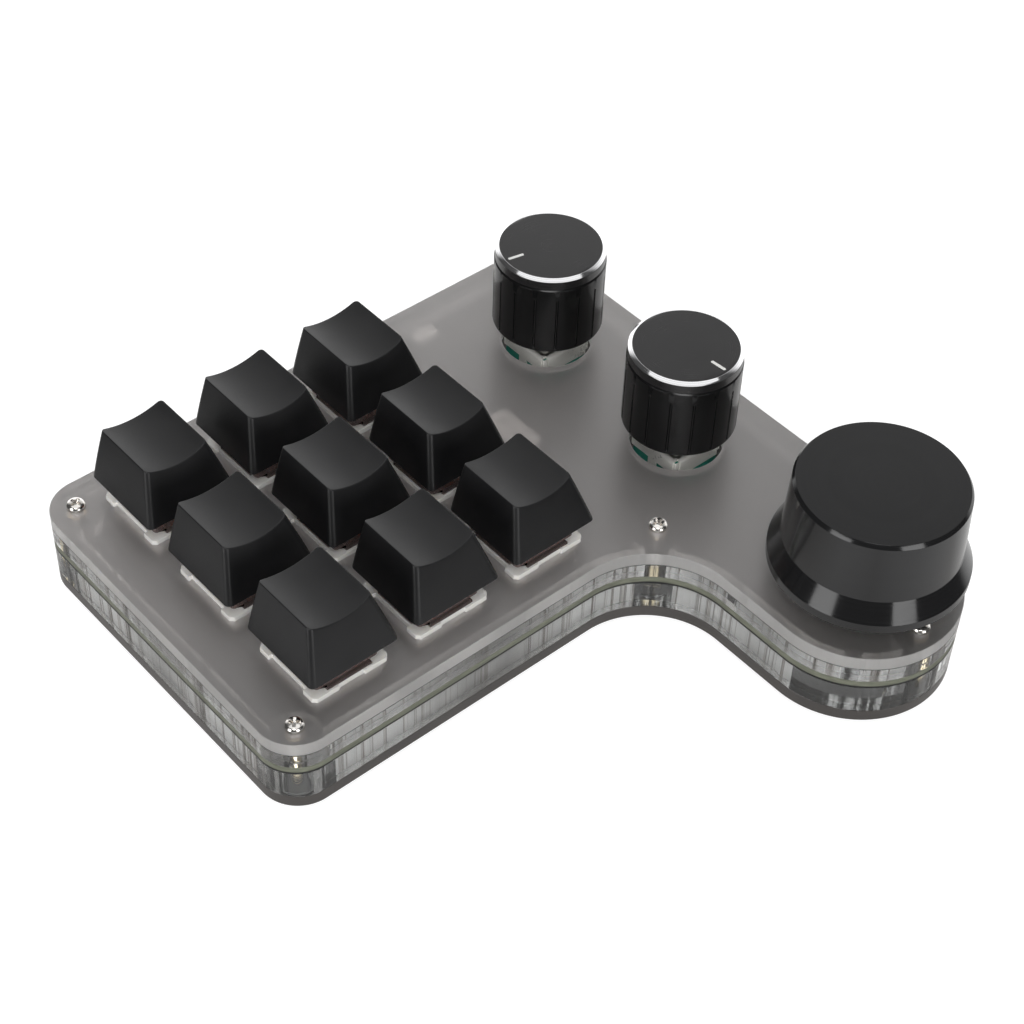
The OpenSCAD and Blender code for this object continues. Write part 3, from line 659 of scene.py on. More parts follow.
M = {
    "keycap": mat_keycap(),
    "knob": mat_knob_body(),
    "frosted": mat_frosted("frosted_acrylic", (0.975, 0.925, 0.905), 0.30, 0.84, 1.75),
    "frosted_back": mat_frosted("frosted_acrylic_underside", (0.97, 0.945, 0.93), 0.16, 0.95),
    "frosted_hole": mat_frosted("frosted_acrylic_hole_wall", (0.94, 0.93, 0.915), 0.45, 0.25),
    "frosted_edge": mat_clear("frosted_acrylic_edge", (0.95, 0.938, 0.92), 0.5, 0.30, 0.76, (15.2, 15.4)),
    "clear": mat_clear(),
    "cut_wall": mat_cut_wall(),
    "dark": mat_dark_acrylic(),
    "board_edge": mat_board_edge(),
    "board_face": mat_board_face(),
    "white": mat_white_housing(),
    "smoke": mat_smoke(),
    "nickel": mat_brushed("nickel_screw", (0.78, 0.755, 0.72), 0.20, (1, 1, 1), 1600, 0.10),
    "clear_face": mat_clear("clear_acrylic_face", (0.66, 0.655, 0.64), 0.1, 0.05),
    "brass": mat_brushed("brass_standoff", (0.82, 0.69, 0.47), 0.24, (0.2, 0.2, 3.0), 1500, 0.12),
    "nylon": mat_plain("black_nylon", (0.022, 0.022, 0.022), 0.42, 2600, 0.1),
    "rubber": mat_plain("foot_rubber", (0.026, 0.026, 0.027), 0.72, 1800, 0.25),
    "copper": mat_brushed("contact_copper", (0.86, 0.47, 0.27), 0.26, (1, 1, 0.1), 2200, 0.1),
    "steel": mat_brushed("connector_steel", (0.68, 0.68, 0.69), 0.26, (1, 0.08, 1), 2200, 0.1),
    "chip": mat_plain("chip_black", (0.024, 0.024, 0.025), 0.5, 2400, 0.2),
    "led": mat_plain("led_white", (0.95, 0.95, 0.93), 0.3, 1600, 0.05, 0.02),
    "connector": mat_plain("connector_white", (0.94, 0.93, 0.91), 0.42, 1600, 0.08, 0.02),
    "green": mat_plain("encoder_green", (0.035, 0.30, 0.225), 0.34, 2000, 0.08, 0.15),
    "plated": mat_plain("plated_sheet", (0.90, 0.89, 0.845), 0.30, 1500, 0.16, 0.05, metallic=0.25),
    "zinc": mat_brushed("zinc_bushing", (0.62, 0.61, 0.58), 0.34, (1, 1, 1), 1800, 0.16),
    "rotor": mat_plain("rotor_plastic", (0.78, 0.76, 0.70), 0.4, 1600, 0.06, 0.05),
    "shaft": mat_brushed("shaft_metal", (0.74, 0.74, 0.73), 0.28, (0.2, 0.2, 3.0), 1500, 0.1),
    "set_screw": mat_brushed("set_screw_steel", (0.16, 0.16, 0.165), 0.34, (1, 1, 1), 2000, 0.12),
    "red": mat_plain("stem_red", (0.55, 0.035, 0.03), 0.33, 2200, 0.06, 0.1),
    "spring": mat_brushed("spring_steel", (0.66, 0.66, 0.65), 0.24, (1, 1, 1), 3000, 0.08),
    "pointer": mat_plain("pointer_white", (0.86, 0.86, 0.84), 0.4, 3000, 0.05, 0.03),
    "big": turned("big_knob_metal", (0.0095, 0.0095, 0.010), 0.13, ENC[2], 5200, 0.03, 0.0, 0.0, 0.44),
}
for k in (1, 2):
    M[f"cap_face_{k}"] = turned(f"knob_cap_face_{k}", (0.015, 0.0145, 0.015), 0.24, ENC[k - 1], 5200, 0.12, 0.0, 0.0, 0.5)
    M[f"cap_edge_{k}"] = turned(f"knob_cap_edge_{k}", (0.80, 0.80, 0.81), 0.10, ENC[k - 1], 4200, 0.05, 1.0, 0.0, 0.5)


# ---------------------------------------------------------------- case plates
def boss_loop(loop, centres, r, keep_inside):
    """loop with its points inside each circle replaced by that circle's arc. keep_inside: the arc that lies inside the loop's region."""
    from_inside = []
    out = list(loop)
    for cx, cy in centres:
        n = len(out)
        inside = [math.hypot(x - cx, y - cy) < r for x, y in out]
        if not any(inside):
            continue
        start = next(i for i in range(n) if inside[i] and not inside[i - 1])
        run = 0
        while inside[(start + run) % n]:
            run += 1

        def crossing(p, q):
            lo, hi = 0.0, 1.0
            fp = math.hypot(p[0] - cx, p[1] - cy) < r
            for _ in range(40):
                mid = (lo + hi) / 2
                x, y = p[0] + (q[0] - p[0]) * mid, p[1] + (q[1] - p[1]) * mid
                if (math.hypot(x - cx, y - cy) < r) == fp:
                    lo = mid
                else:
                    hi = mid
            return p[0] + (q[0] - p[0]) * lo, p[1] + (q[1] - p[1]) * lo
        a = crossing(out[start - 1], out[start])
        end = (start + run) % n
        b = crossing(out[end - 1], out[end])
        a0, a1 = math.atan2(a[1] - cy, a[0] - cx), math.atan2(b[1] - cy, b[0] - cx)
        # the loop runs counter-clockwise, so its region is on the left: going round the circle clockwise stays outside it
        sweep = (a1 - a0) % (2 * math.pi)
        if keep_inside:
            sweep -= 2 * math.pi
        steps = max(12, int(abs(sweep) * r / 0.22))
        new = [(cx + r * math.cos(a0 + sweep * i / steps), cy + r * math.sin(a0 + sweep * i / steps)) for i in range(steps + 1)]
        rest = [out[(end + i) % n] for i in range(n - run)]
        out = new + rest
    return out


def dense(loop, step=0.5):
    out = []
    for i, p in enumerate(loop):
        q = loop[(i + 1) % len(loop)]
        k = max(1, int(math.hypot(q[0] - p[0], q[1] - p[1]) / step))
        out += [(p[0] + (q[0] - p[0]) * j / k, p[1] + (q[1] - p[1]) * j / k) for j in range(k)]
    return out


def fixed(loop):
    return lambda d=0.0: loop


def outline(d=0.0):
    return plan(-d)


def add_top_plate():
    s = Shape()
    holes = [rect(14.0, 14.0, 0.3, 3, KEYS[n]) for n in KEYS]
    holes += [circle(x, y, 8.65, 120) for x, y in ENC]
    holes += [circle(x, y, 1.1, 32) for x, y in SCREWS]
    s.slab(outline, holes, Z_TOP + GAP, Z_FACE, 0.14, 3, (0, 1, 2, 3))
    return s.object("top_plate_sheet", "case", [M["frosted"], M["frosted_edge"], M["frosted_back"], M["frosted_hole"]], "top_plate", "frosted_acrylic", sharp=30)


def clear_by_screws(s, near, extra=()):
    """Wall faces within near of a screw stay clear, so that its standoff and washer are seen; extra: more clear stretches (x, y, radius)."""
    for i, f in enumerate(s.f):
        if s.m[i] == 1:
            x = sum(s.v[k][0] for k in f) / len(f)
            y = sum(s.v[k][1] for k in f) / len(f)
            if any(math.hypot(x - a, y - b) < r for a, b, r in [(a, b, near) for a, b in SCREWS] + list(extra)):
                s.m[i] = 0


def add_upper_frame():
    s = Shape()
    inner = boss_loop(dense(plan(WALL)), SCREWS, 4.5, True)
    s.slab(outline, [fixed(inner)] + [circle(x, y, 1.65, 32) for x, y in SCREWS], Z_UPPER + GAP, Z_TOP - GAP, 0.10, 2, (2, 0, 0, 1))
    clear_by_screws(s, 2.0, [(26.5, -56.0, 4.0), (23.0, -30.0, 3.0)])
    return s.object("upper_frame_sheet", "case", [M["clear"], M["cut_wall"], M["clear_face"]], "upper_frame", "clear_acrylic", sharp=30)


def add_lower_frame():
    s = Shape()
    inner = boss_loop(dense(plan(WALL)), [c for c in SCREWS], 3.6, False)
    x0, x1 = 13.3 - 4.9, 13.3 + 4.9
    y_in = HD - WALL

    def c_loop(d=0.0):
        out = outline(d)
        # start at the left side of the connector's slot and go round counter-clockwise
        k = next(i for i, p in enumerate(out) if p[1] > 60 and p[0] < 0)
        run = out[k:] + out[:k]
        inn = list(inner)
        j = next(i for i, p in enumerate(inn) if p[1] > y_in - 0.05 and p[0] < x1 and inn[i - 1][0] >= x1)
        inn = inn[j:] + inn[:j]
        while inn and inn[0][0] < x1 and inn[0][0] > x0 and abs(inn[0][1] - y_in) < 0.05:
            inn.pop(0)
        y_out = HD + d
        e = d if d < 0 else d
        return [(x0 - abs(e) * 0, y_out)] + run + [(x1, y_out), (x1, y_in)] + list(reversed(inn)) + [(x0, y_in)]
    s.slab(c_loop, [], Z_LOWER + GAP, Z_PCB - GAP, 0.06, 2)
    # the faces of the inner wall have the look of a cut edge
    within = {(round(x, 4), round(y, 4)) for x, y in inner}
    for i, f in enumerate(s.f):
        if len({(round(s.v[k][0], 4), round(s.v[k][1], 4)) for k in f}) == 2 and all((round(s.v[k][0], 4), round(s.v[k][1], 4)) in within for k in f):
            s.m[i] = 1
    clear_by_screws(s, 5.6, [(26.5, -50.0, 5.0), (31.0, -58.0, 5.0)])
    return s.object("lower_frame_sheet", "case", [M["clear"], M["cut_wall"]], "lower_frame", "clear_acrylic", sharp=30)


def add_pcb():
    s = Shape()
    holes = [circle(x, y, 1.65, 32) for x, y in SCREWS]
    for n in KEYS:
        x, y = KEYS[n]
        holes += [circle(x, y, 2.05, 32), circle(x + 3.9, y - 2.54, 1.5, 24), circle(x - 2.54, y - 5.1, 1.5, 24)]
    for x, y in ENC:
        holes += [circle(x + i, y - 7.0, 0.55, 16) for i in (-2.5, 0, 2.5)] + [circle(x + i, y + 7.0, 0.55, 16) for i in (-2.5, 2.5)]
        holes += [rect(1.2, 2.6, 0.1, 2, (x + i, y)) for i in (-5.7, 5.7)]
    s.slab(lambda d=0.0: plan(0.02 - d), holes, Z_PCB, Z_UPPER, 0.05, 1, (1, 0, 1))
    return s.object("circuit_board", "case", [M["board_edge"], M["board_face"]], "pcb", "circuit_board", sharp=30)


def add_bottom_plate():
    s = Shape()
    s.slab(outline, [circle(x, y, 1.1, 32) for x, y in SCREWS], Z_BOTTOM, Z_LOWER - GAP, 0.12, 3)
    return s.object("bottom_plate_sheet", "case", [M["dark"]], "bottom_plate", "dark_acrylic", sharp=30)


# ---------------------------------------------------------------- screws, standoffs, washers, feet
def cut(target, cutter):
    """Exact boolean difference, applied to the mesh."""
    b = target.modifiers.new("cut", "BOOLEAN")
    b.operation, b.object, b.solver = "DIFFERENCE", cutter, "EXACT"
    dg = bpy.context.evaluated_depsgraph_get()
    mesh = bpy.data.meshes.new_from_object(target.evaluated_get(dg))
    target.modifiers.remove(b)
    return mesh


def raw_object(shape, name="scratch"):
    mesh = bpy.data.meshes.new(name)
    mesh.from_pydata(shape.v, [], shape.f)
    bm = bmesh.new()
    bm.from_mesh(mesh)
    bmesh.ops.remove_doubles(bm, verts=bm.verts, dist=0.0002)
    bmesh.ops.recalc_face_normals(bm, faces=bm.faces)
    bm.to_mesh(mesh)
    bm.free()
    o = bpy.data.objects.new(name, mesh)
    scene.collection.objects.link(o)
    return o


def carved(solid, cutter):
    """Shape of one solid minus another, both in millimetres."""
    a, b = raw_object(solid), raw_object(cutter)
    bpy.context.view_layer.update()
    mesh = cut(a, b)
    out = Shape()
    out.add([tuple(v.co) for v in mesh.vertices], [tuple(p.vertices) for p in mesh.polygons], 0)
    for o in (a, b):
        bpy.data.objects.remove(o)
    return out


def screw_shape():
    head = Shape()
    prof = fillet([(0, 1.25), (0.9, 1.235), (1.42, 1.02, 0.5), (1.7, 0.62, 0.35), (1.7, 0.0, 0.08), (0.98, 0.0), (0.98, -0.35), (0.9, -0.4)], 5)
    z = -0.4
    while z > -5.7:
        prof += [(0.98, z - 0.10), (0.98, z - 0.16), (0.80, z - 0.26), (0.80, z - 0.30)]
        z -= 0.4
    prof += [(0.75, -5.85), (0.62, -6.0), (0, -6.0)]
    head.lathe(prof, seg=48)
    cross = Shape()
    w0, w1, l0, l1, depth = 0.17, 0.30, 0.42, 1.12, 0.75
    for turn in (0, 90):
        arm = Shape()
        rings = []
        for t in (0.0, 0.55, 1.0, 1.15):
            w, l, zz = w0 + (w1 - w0) * t, l0 + (l1 - l0) * t, 1.3 - depth + depth * t
            rings.append([(-l, -w, zz), (l, -w, zz), (l, w, zz), (-l, w, zz)])
        arm.rings(rings, 0, cap0=True, cap1=True)
        cross.merge(arm, turn=turn)
    a = carved_union_cross(head, cross)
    return a


def carved_union_cross(head, cross):
    """Cuts the two arms of the cross one after the other."""
    half = len(cross.v) // 2
    first, second = Shape(), Shape()
    first.v, first.f = cross.v[:half], [f for f in cross.f if max(f) < half]
    first.m = [0] * len(first.f)
    second.v = cross.v[half:]
    second.f = [tuple(i - half for i in f) for f in cross.f if min(f) >= half]
    second.m = [0] * len(second.f)
    return carved(carved(head, first), second)


def add_screws():
    one = screw_shape()
    s = Shape()
    for i, (x, y) in enumerate(SCREWS):
        s.merge(one, (x, y, Z_FACE), 20 + 31 * i)
        s.merge(one, (x, y, Z_BOTTOM), 20 + 31 * i, flip=True)
    return s.object("case_screw_set", "case", [M["nickel"]], "case_screws", "nickel_screw", sharp=32)


def add_standoffs():
    s = Shape()
    for x, y in SCREWS:
        prof = fillet([(1.0, 5.1), (1.05, 5.1), (1.6, 5.1, 0.12), (1.6, 15.1, 0.12), (1.0, 15.1)], 3)
        s.lathe(prof + [(1.0, 5.1)], (x, y), 48)
    o = s.object("standoff_set", "case", [M["brass"]], "standoffs", "brass_standoff", sharp=32)
    s = Shape()
    for x, y in SCREWS:
        s.lathe(fillet([(1.15, 4.5), (3.5, 4.5, 0.12), (3.5, 5.1, 0.12), (1.15, 5.1), (1.15, 4.5)], 3), (x, y), 64)
    s.object("standoff_washer_set", "case", [M["nylon"]], "standoff_washers", "black_nylon", sharp=32)
    return o


def add_feet():
    s = Shape()
    for x, y in FEET:
        s.lathe(fillet([(0, 0.0), (2.6, 0.0), (3.55, 0.05, 0.3), (3.92, 0.45, 0.4), (4.0, 1.2), (4.0, 2.0, 0.06), (0, 2.0)], 5), (x, y), 64)
    return s.object("rubber_foot_set", "case", [M["rubber"]], "rubber_feet", "foot_rubber", sharp=40)


# ---------------------------------------------------------------- keys
def lerp(a, b, t):
    return a + (b - a) * t


CAP_BASE, CAP_TOP_X, CAP_TOP_Y, CAP_H, CAP_SHIFT, DISH = 18.1, 12.56, 13.88, 9.6, 1.67, 1.3
DISH_R = ((CAP_TOP_X / 2) ** 2 + DISH ** 2) / (2 * DISH)


def cap_section(t, grow=0.0, bulge=0.0, per=12, corner=8):
    """Outline of the keycap at share t of its height: points, counter-clockwise."""
    hx = lerp(CAP_BASE, CAP_TOP_X, t) / 2 + grow + bulge * math.sin(math.pi * min(max(t, 0), 1))
    hy = lerp(CAP_BASE, CAP_TOP_Y, t) / 2 + grow + bulge * math.sin(math.pi * min(max(t, 0), 1))
    r = max(lerp(1.1, 0.9, t) + grow, 0.25)
    oy = CAP_SHIFT * t
    pts = []
    for (sx, sy, a0) in ((1, -1, -90), (1, 1, 0), (-1, 1, 90), (-1, -1, 180)):
        cx, cy = sx * (hx - r), sy * (hy - r)
        for i in range(corner + 1):
            a = math.radians(a0 + 90 * i / corner)
            pts.append((cx + r * math.cos(a), cy + r * math.sin(a)))
        # side that follows this corner, cut into short lengths
        nxt = {(1, -1): (1, 1), (1, 1): (-1, 1), (-1, 1): (-1, -1), (-1, -1): (1, -1)}[(sx, sy)]
        a1 = math.radians(a0 + 90)
        p = (cx + r * math.cos(a1), cy + r * math.sin(a1))
        q = (nxt[0] * (hx - r) + r * math.cos(a1), nxt[1] * (hy - r) + r * math.sin(a1))
        for i in range(1, per):
            pts.append((lerp(p[0], q[0], i / per), lerp(p[1], q[1], i / per)))
    return [(x, y + oy) for x, y in pts]


def dish_z(x):
    return CAP_H - DISH + DISH_R - math.sqrt(max(DISH_R ** 2 - x * x, 0.0))


def keycap_shape():
    s = Shape()
    f = 0.2
    n = len(cap_section(0))

    def side_point(i, z):
        t = z / CAP_H
        key = round(t, 5)
        if key not in cache:
            cache[key] = cap_section(t, 0, 0.05)
        return cache[key][i]
    cache = {}
    # where each upright line of the side meets the dish
    edge = []
    for i in range(n):
        z = CAP_H
        for _ in range(12):
            x, y = side_point(i, round(z, 4))
            z = dish_z(x)
        edge.append((x, y, z))
    rings = []
    # rim
    rings.append([(x, y, 0.0) for x, y in cap_section(0, -0.12)])
    rings.append([(x, y, 0.035) for x, y in cap_section(0, -0.035)])
    rings.append([(x, y, 0.12) for x, y in cap_section(0.012, 0.0)])
    for k in range(1, 8):
        t = k / 8
        ring = []
        for i in range(n):
            z = lerp(0.12, edge[i][2] - f, t)
            x, y = side_point(i, round(z, 4))
            ring.append((x, y, z))
        rings.append(ring)
    # rounded top edge: from f below the edge, over it, to f inside it
    inner = []
    low = []
    for i in range(n):
        x, y, z = edge[i]
        lx, ly = side_point(i, round(z - f, 4))
        low.append((lx, ly, z - f))
        px, py = edge[i - 1][0], edge[i - 1][1]
        qx, qy = edge[(i + 1) % n][0], edge[(i + 1) % n][1]
        tx, ty = qx - px, qy - py
        l = math.hypot(tx, ty) or 1
        nx, ny = -ty / l, tx / l
        ix, iy = x + nx * f, y + ny * f
        inner.append((ix, iy, dish_z(ix)))
    rings.append(low)
    for k in range(1, 5):
        t = k / 5
        rings.append([tuple((1 - t) ** 2 * a + 2 * t * (1 - t) * b + t * t * c for a, b, c in zip(low[i], edge[i], inner[i])) for i in range(n)])
    rings.append(inner)
    cx, cy = 0.0, CAP_SHIFT * (CAP_H - DISH) / CAP_H
    for k in (0.88, 0.74, 0.6, 0.46, 0.32, 0.18, 0.07):
        ring = []
        for x, y, z in inner:
            xx, yy = cx + (x - cx) * k, cy + (y - cy) * k
            ring.append((xx, yy, dish_z(xx)))
        rings.append(ring)
    s.rings(rings, 0, cap1=True)
    # inside: rim, walls, ceiling
    ceil = 6.8
    inside = [[(x, y, 0.0) for x, y in cap_section(0, -1.08)],
              [(x, y, 0.12) for x, y in cap_section(0, -1.2)]]
    for t in (0.25, 0.5, 0.75, 0.93):
        inside.append([(x, y, ceil * t) for x, y in cap_section(ceil * t / CAP_H, -1.2)])
    inside.append([(x, y, ceil - 0.12) for x, y in cap_section(ceil / CAP_H, -1.32)])
    inside.append([(x, y, ceil) for x, y in cap_section(ceil / CAP_H, -1.7)])
    s.rings(inside, 0, cap1=True)
    s.rings([rings[0], inside[0]], 0)
    return s


def keycap_post():
    s = Shape()
    cross = polygon([(-0.57, -2.02), (0.57, -2.02), (0.57, -0.67), (2.02, -0.67), (2.02, 0.67), (0.57, 0.67), (0.57, 2.02), (-0.57, 2.02), (-0.57, 0.67), (-2.02, 0.67), (-2.02, -0.67), (-0.57, -0.67)], 0.08, 2)
    s.slab(circle(0, 0, 2.75, 56), [cross], 24.6 - CAP_Z, 28.3 - CAP_Z, 0.15, 2)
    s.lathe([(0, 28.3 - CAP_Z), (2.75, 28.3 - CAP_Z), (2.75, 30.4 - CAP_Z), (0, 30.4 - CAP_Z)], seg=56)
    return s


def add_keycaps():
    one, post = keycap_shape(), keycap_post()
    for n, (x, y) in KEYS.items():
        s = Shape()
        s.merge(one, (x, y, CAP_Z))
        s.merge(post, (x, y, CAP_Z))
        s.object(f"keycap_{n}_moulding", f"key_{n}", [M["keycap"]], f"keycap_{n}", "keycap_black", sharp=42)


def lower_housing_shape():
    h, c = 7.8, 0.7
    rec, notch = 7.1, 7.45
    out = polygon([(-h + c, -h), (-2.6, -h), (-2.6, -notch), (2.6, -notch), (2.6, -h), (h - c, -h), (h, -h + c), (h, -4.7), (rec, -4.7), (rec, 4.7), (h, 4.7), (h, h - c),
                   (h - c, h), (-h + c, h), (-h, h - c), (-h, 4.7), (-rec, 4.7), (-rec, -4.7), (-h, -4.7), (-h, -h + c)], 0.12, 3)
    cross = polygon([(-4.7, -7.25), (4.7, -7.25), (4.7, -4.7), (6.7, -4.7), (6.7, 4.7), (4.7, 4.7), (4.7, 7.25), (-4.7, 7.25), (-4.7, 4.7), (-6.7, 4.7), (-6.7, -4.7), (-4.7, -4.7)], 0.1, 2)
    well = rect(11.4, 11.4, 0.3, 3)
    body = rect(13.9, 13.9, 0.4, 3)
    s = Shape()
    b = 0.12
    z0, z1, z2 = Z_FACE, Z_FACE + 0.5, Z_FACE + 1.0
    lv = lambda f, d, z: [(x, y, z) for x, y in f(d)]
    # flange outside, top of the pads, wall of the seat
    s.rings([lv(out, -0.06, z0), lv(out, 0, z0 + 0.06), lv(out, 0, z2 - b), lv(out, -b * 0.3, z2 - b * 0.3), lv(out, -b, z2)], 0)
    s.sheet([out(-b), cross(0.06)], z2)
    s.rings([lv(cross, 0.06, z2), lv(cross, 0, z2 - 0.06), lv(cross, 0, z1)], 0)
    s.sheet([cross(0), well(0)], z1)
    s.rings([lv(well, 0, z1), lv(well, 0, Z_FACE - 4)], 0)
    # bottom of the well with the guide for the slider's pole
    pole = circle(0, 0, 1.55, 32)
    s.sheet([well(0), pole(0)], Z_FACE - 4)
    s.rings([lv(pole, 0, Z_FACE - 4), lv(pole, 0, Z_FACE - 7.6)], 0, cap1=True)
    # underside of the flange, outside of the body, centre post
    s.sheet([out(-0.06), body(0)], z0)
    post = circle(0, 0, 2.0, 32)
    s.rings([lv(body, 0, z0), lv(body, 0, Z_FACE - 4.6), lv(body, -0.3, Z_FACE - 5)], 0)
    s.sheet([body(-0.3), post(0)], Z_FACE - 5)
    s.rings([lv(post, 0, Z_FACE - 5), lv(post, 0, Z_FACE - 7.9), lv(post, -0.3, Z_FACE - 8.2)], 0, cap1=True)
    return s


def upper_housing_shape():
    """Smoky clear cover: skirt in the seat, tapered sides, opening for the slider."""
    def star(poly, angles):
        out = []
        k = len(poly)
        for a in angles:
            dx, dy = math.cos(a), math.sin(a)
            best = None
            for i in range(k):
                (x0, y0), (x1, y1) = poly[i], poly[(i + 1) % k]
                ex, ey = x1 - x0, y1 - y0
                den = dx * ey - dy * ex
                if abs(den) < 1e-12:
                    continue
                t = (x0 * ey - y0 * ex) / den
                u = (x0 * dy - y0 * dx) / den
                if t > 0 and -1e-9 <= u <= 1 + 1e-9 and (best is None or t > best):
                    best = t
            out.append((dx * best, dy * best))
        return out
    cross = polygon([(-4.6, -7.15), (4.6, -7.15), (4.6, -4.6), (6.6, -4.6), (6.6, 4.6), (4.6, 4.6), (4.6, 7.15), (-4.6, 7.15), (-4.6, 4.6), (-6.6, 4.6), (-6.6, -4.6), (-4.6, -4.6)], 0.12, 3)
    base = rect(13.2, 13.2, 0.8, 5)
    inner_base = rect(11.4, 11.4, 0.5, 4)
    top = rect(10.4, 10.0, 0.8, 5)
    inner_top = rect(8.6, 8.2, 0.5, 4)
    hole = rect(7.3, 6.3, 0.25, 3)
    polys = [cross(), base(), inner_base(), top(), inner_top(), hole()]
    angles = sorted(set(round(math.atan2(y, x), 4) for p in polys for x, y in p))
    angles = [a for i, a in enumerate(angles) if i == 0 or a - angles[i - 1] > 0.004]

    def ring(f, d, z):
        return [(x, y, z) for x, y in star(f(d), angles)]

    def between(f, g, t, d, z):
        return [(lerp(a[0], b[0], t), lerp(a[1], b[1], t), z) for a, b in zip(star(f(d), angles), star(g(d), angles))]
    z = Z_FACE
    s = Shape()
    loops = [ring(cross, -0.05, z + 0.5), ring(cross, 0, z + 0.55), ring(cross, 0, z + 1.22), ring(cross, -0.08, z + 1.3),
             ring(base, -0.1, z + 1.34), between(base, top, 0.05, 0, z + 1.45)]
    for t in (0.25, 0.5, 0.75, 0.93):
        loops.append(between(base, top, t, 0, z + 1 + 5.6 * t))
    loops += [between(base, top, 0.99, -0.12, z + 6.52), ring(top, -0.35, z + 6.6), ring(hole, 0.1, z + 6.6), ring(hole, 0, z + 6.5), ring(hole, 0, z + 5.3),
              ring(inner_top, 0, z + 5.3)]
    for t in (0.66, 0.33, 0.0):
        loops.append(between(inner_base, inner_top, t, 0, z + 0.5 + 4.8 * t if t else z + 0.5))
    loops.append(loops[0])
    s.rings(loops, 0)
    return s


def add_switches():
    low, up = Shape(), Shape()
    a, b = lower_housing_shape(), upper_housing_shape()
    for x, y in KEYS.values():
        low.merge(a, (x, y, 0))
        up.merge(b, (x, y, 0))
    low.object("switch_lower_housing_set", "case", [M["white"]], "switch_lower_housings", "switch_white", sharp=35)
    up.object("switch_upper_housing_set", "case", [M["smoke"]], "switch_upper_housings", "switch_smoke", sharp=35)


def add_contacts():
    s = Shape()
    for x, y in KEYS.values():
        s.box(x - 3.0, x + 0.6, y - 5.2, y - 5.0, 14.0, 19.8, 0.05)
        s.box(x - 3.04, x - 2.04, y - 5.3, y - 4.9, 9.6, 14.1, 0.05)
        s.box(x + 3.75, x + 4.05, y - 4.9, y - 2.04, 14.0, 18.9, 0.05)
        s.box(x + 3.7, x + 4.1, y - 3.04, y - 2.04, 9.6, 14.1, 0.05)
    s.object("switch_contact_set", "case", [M["copper"]], "switch_contacts", "contact_copper", sharp=35)


def add_stems():
    for n, (x, y) in KEYS.items():
        s = Shape()
        slider = rect(7.0, 6.0, 0.35, 4)
        well = circle(0, 0, 2.4, 40)
        lv = lambda f, d, z: [(px, py, z) for px, py in f(d)]
        s.rings([lv(slider, -0.12, 19.0), lv(slider, 0, 19.12), lv(slider, 0, 24.3), lv(slider, -0.2, 24.5)], 0, cap1=True)
        s.sheet([slider(-0.12), well(0)], 19.0)
        pole = circle(0, 0, 1.47, 40)
        s.rings([lv(well, 0, 19.0), lv(well, 0, 23.0)], 0)
        s.sheet([well(0), pole(0)], 23.0)
        s.rings([lv(pole, 0, 23.0), lv(pole, 0, 15.2), lv(pole, -0.25, 14.9)], 0, cap1=True)
        cross = polygon([(-0.55, -2.0), (0.55, -2.0), (0.55, -0.65), (2.0, -0.65), (2.0, 0.65), (0.55, 0.65), (0.55, 2.0), (-0.55, 2.0), (-0.55, 0.65), (-2.0, 0.65), (-2.0, -0.65), (-0.55, -0.65)], 0.06, 2)
        s.slab(cross, [], 24.4, 28.1, 0.15, 2, b0=0.02)
        whole = Shape()
        whole.merge(s, (x, y, 0))
        whole.object(f"switch_slider_{n}", f"key_{n}", [M["red"]], f"switch_stem_{n}", "stem_red", sharp=38)


def add_springs():
    wire, r, turns, seg = 0.17, 1.95, 9, 28
    z0, z1 = Z_FACE - 4 + wire + 0.02, Z_FACE + 5.1 - wire - 0.02
    pts = []
    for i in range(turns * seg + 1):
        t = i / seg
        if t < 1:
            lift = t * 2.4 * wire
        elif t > turns - 1:
            lift = (z1 - z0) - (turns - t) * 2.4 * wire
        else:
            lift = 2.4 * wire + (t - 1) / (turns - 2) * (z1 - z0 - 4.8 * wire)
        a = 2 * math.pi * t
        pts.append((r * math.cos(a), r * math.sin(a), z0 + lift))
    for n, (x, y) in KEYS.items():
        s = Shape()
        s.tube([(px + x, py + y, pz) for px, py, pz in pts], wire, 8)
        o = s.object(f"return_spring_{n}", "case", [M["spring"]], f"switch_spring_{n}", "spring_steel", sharp=60, weighted=False)
        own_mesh(o)


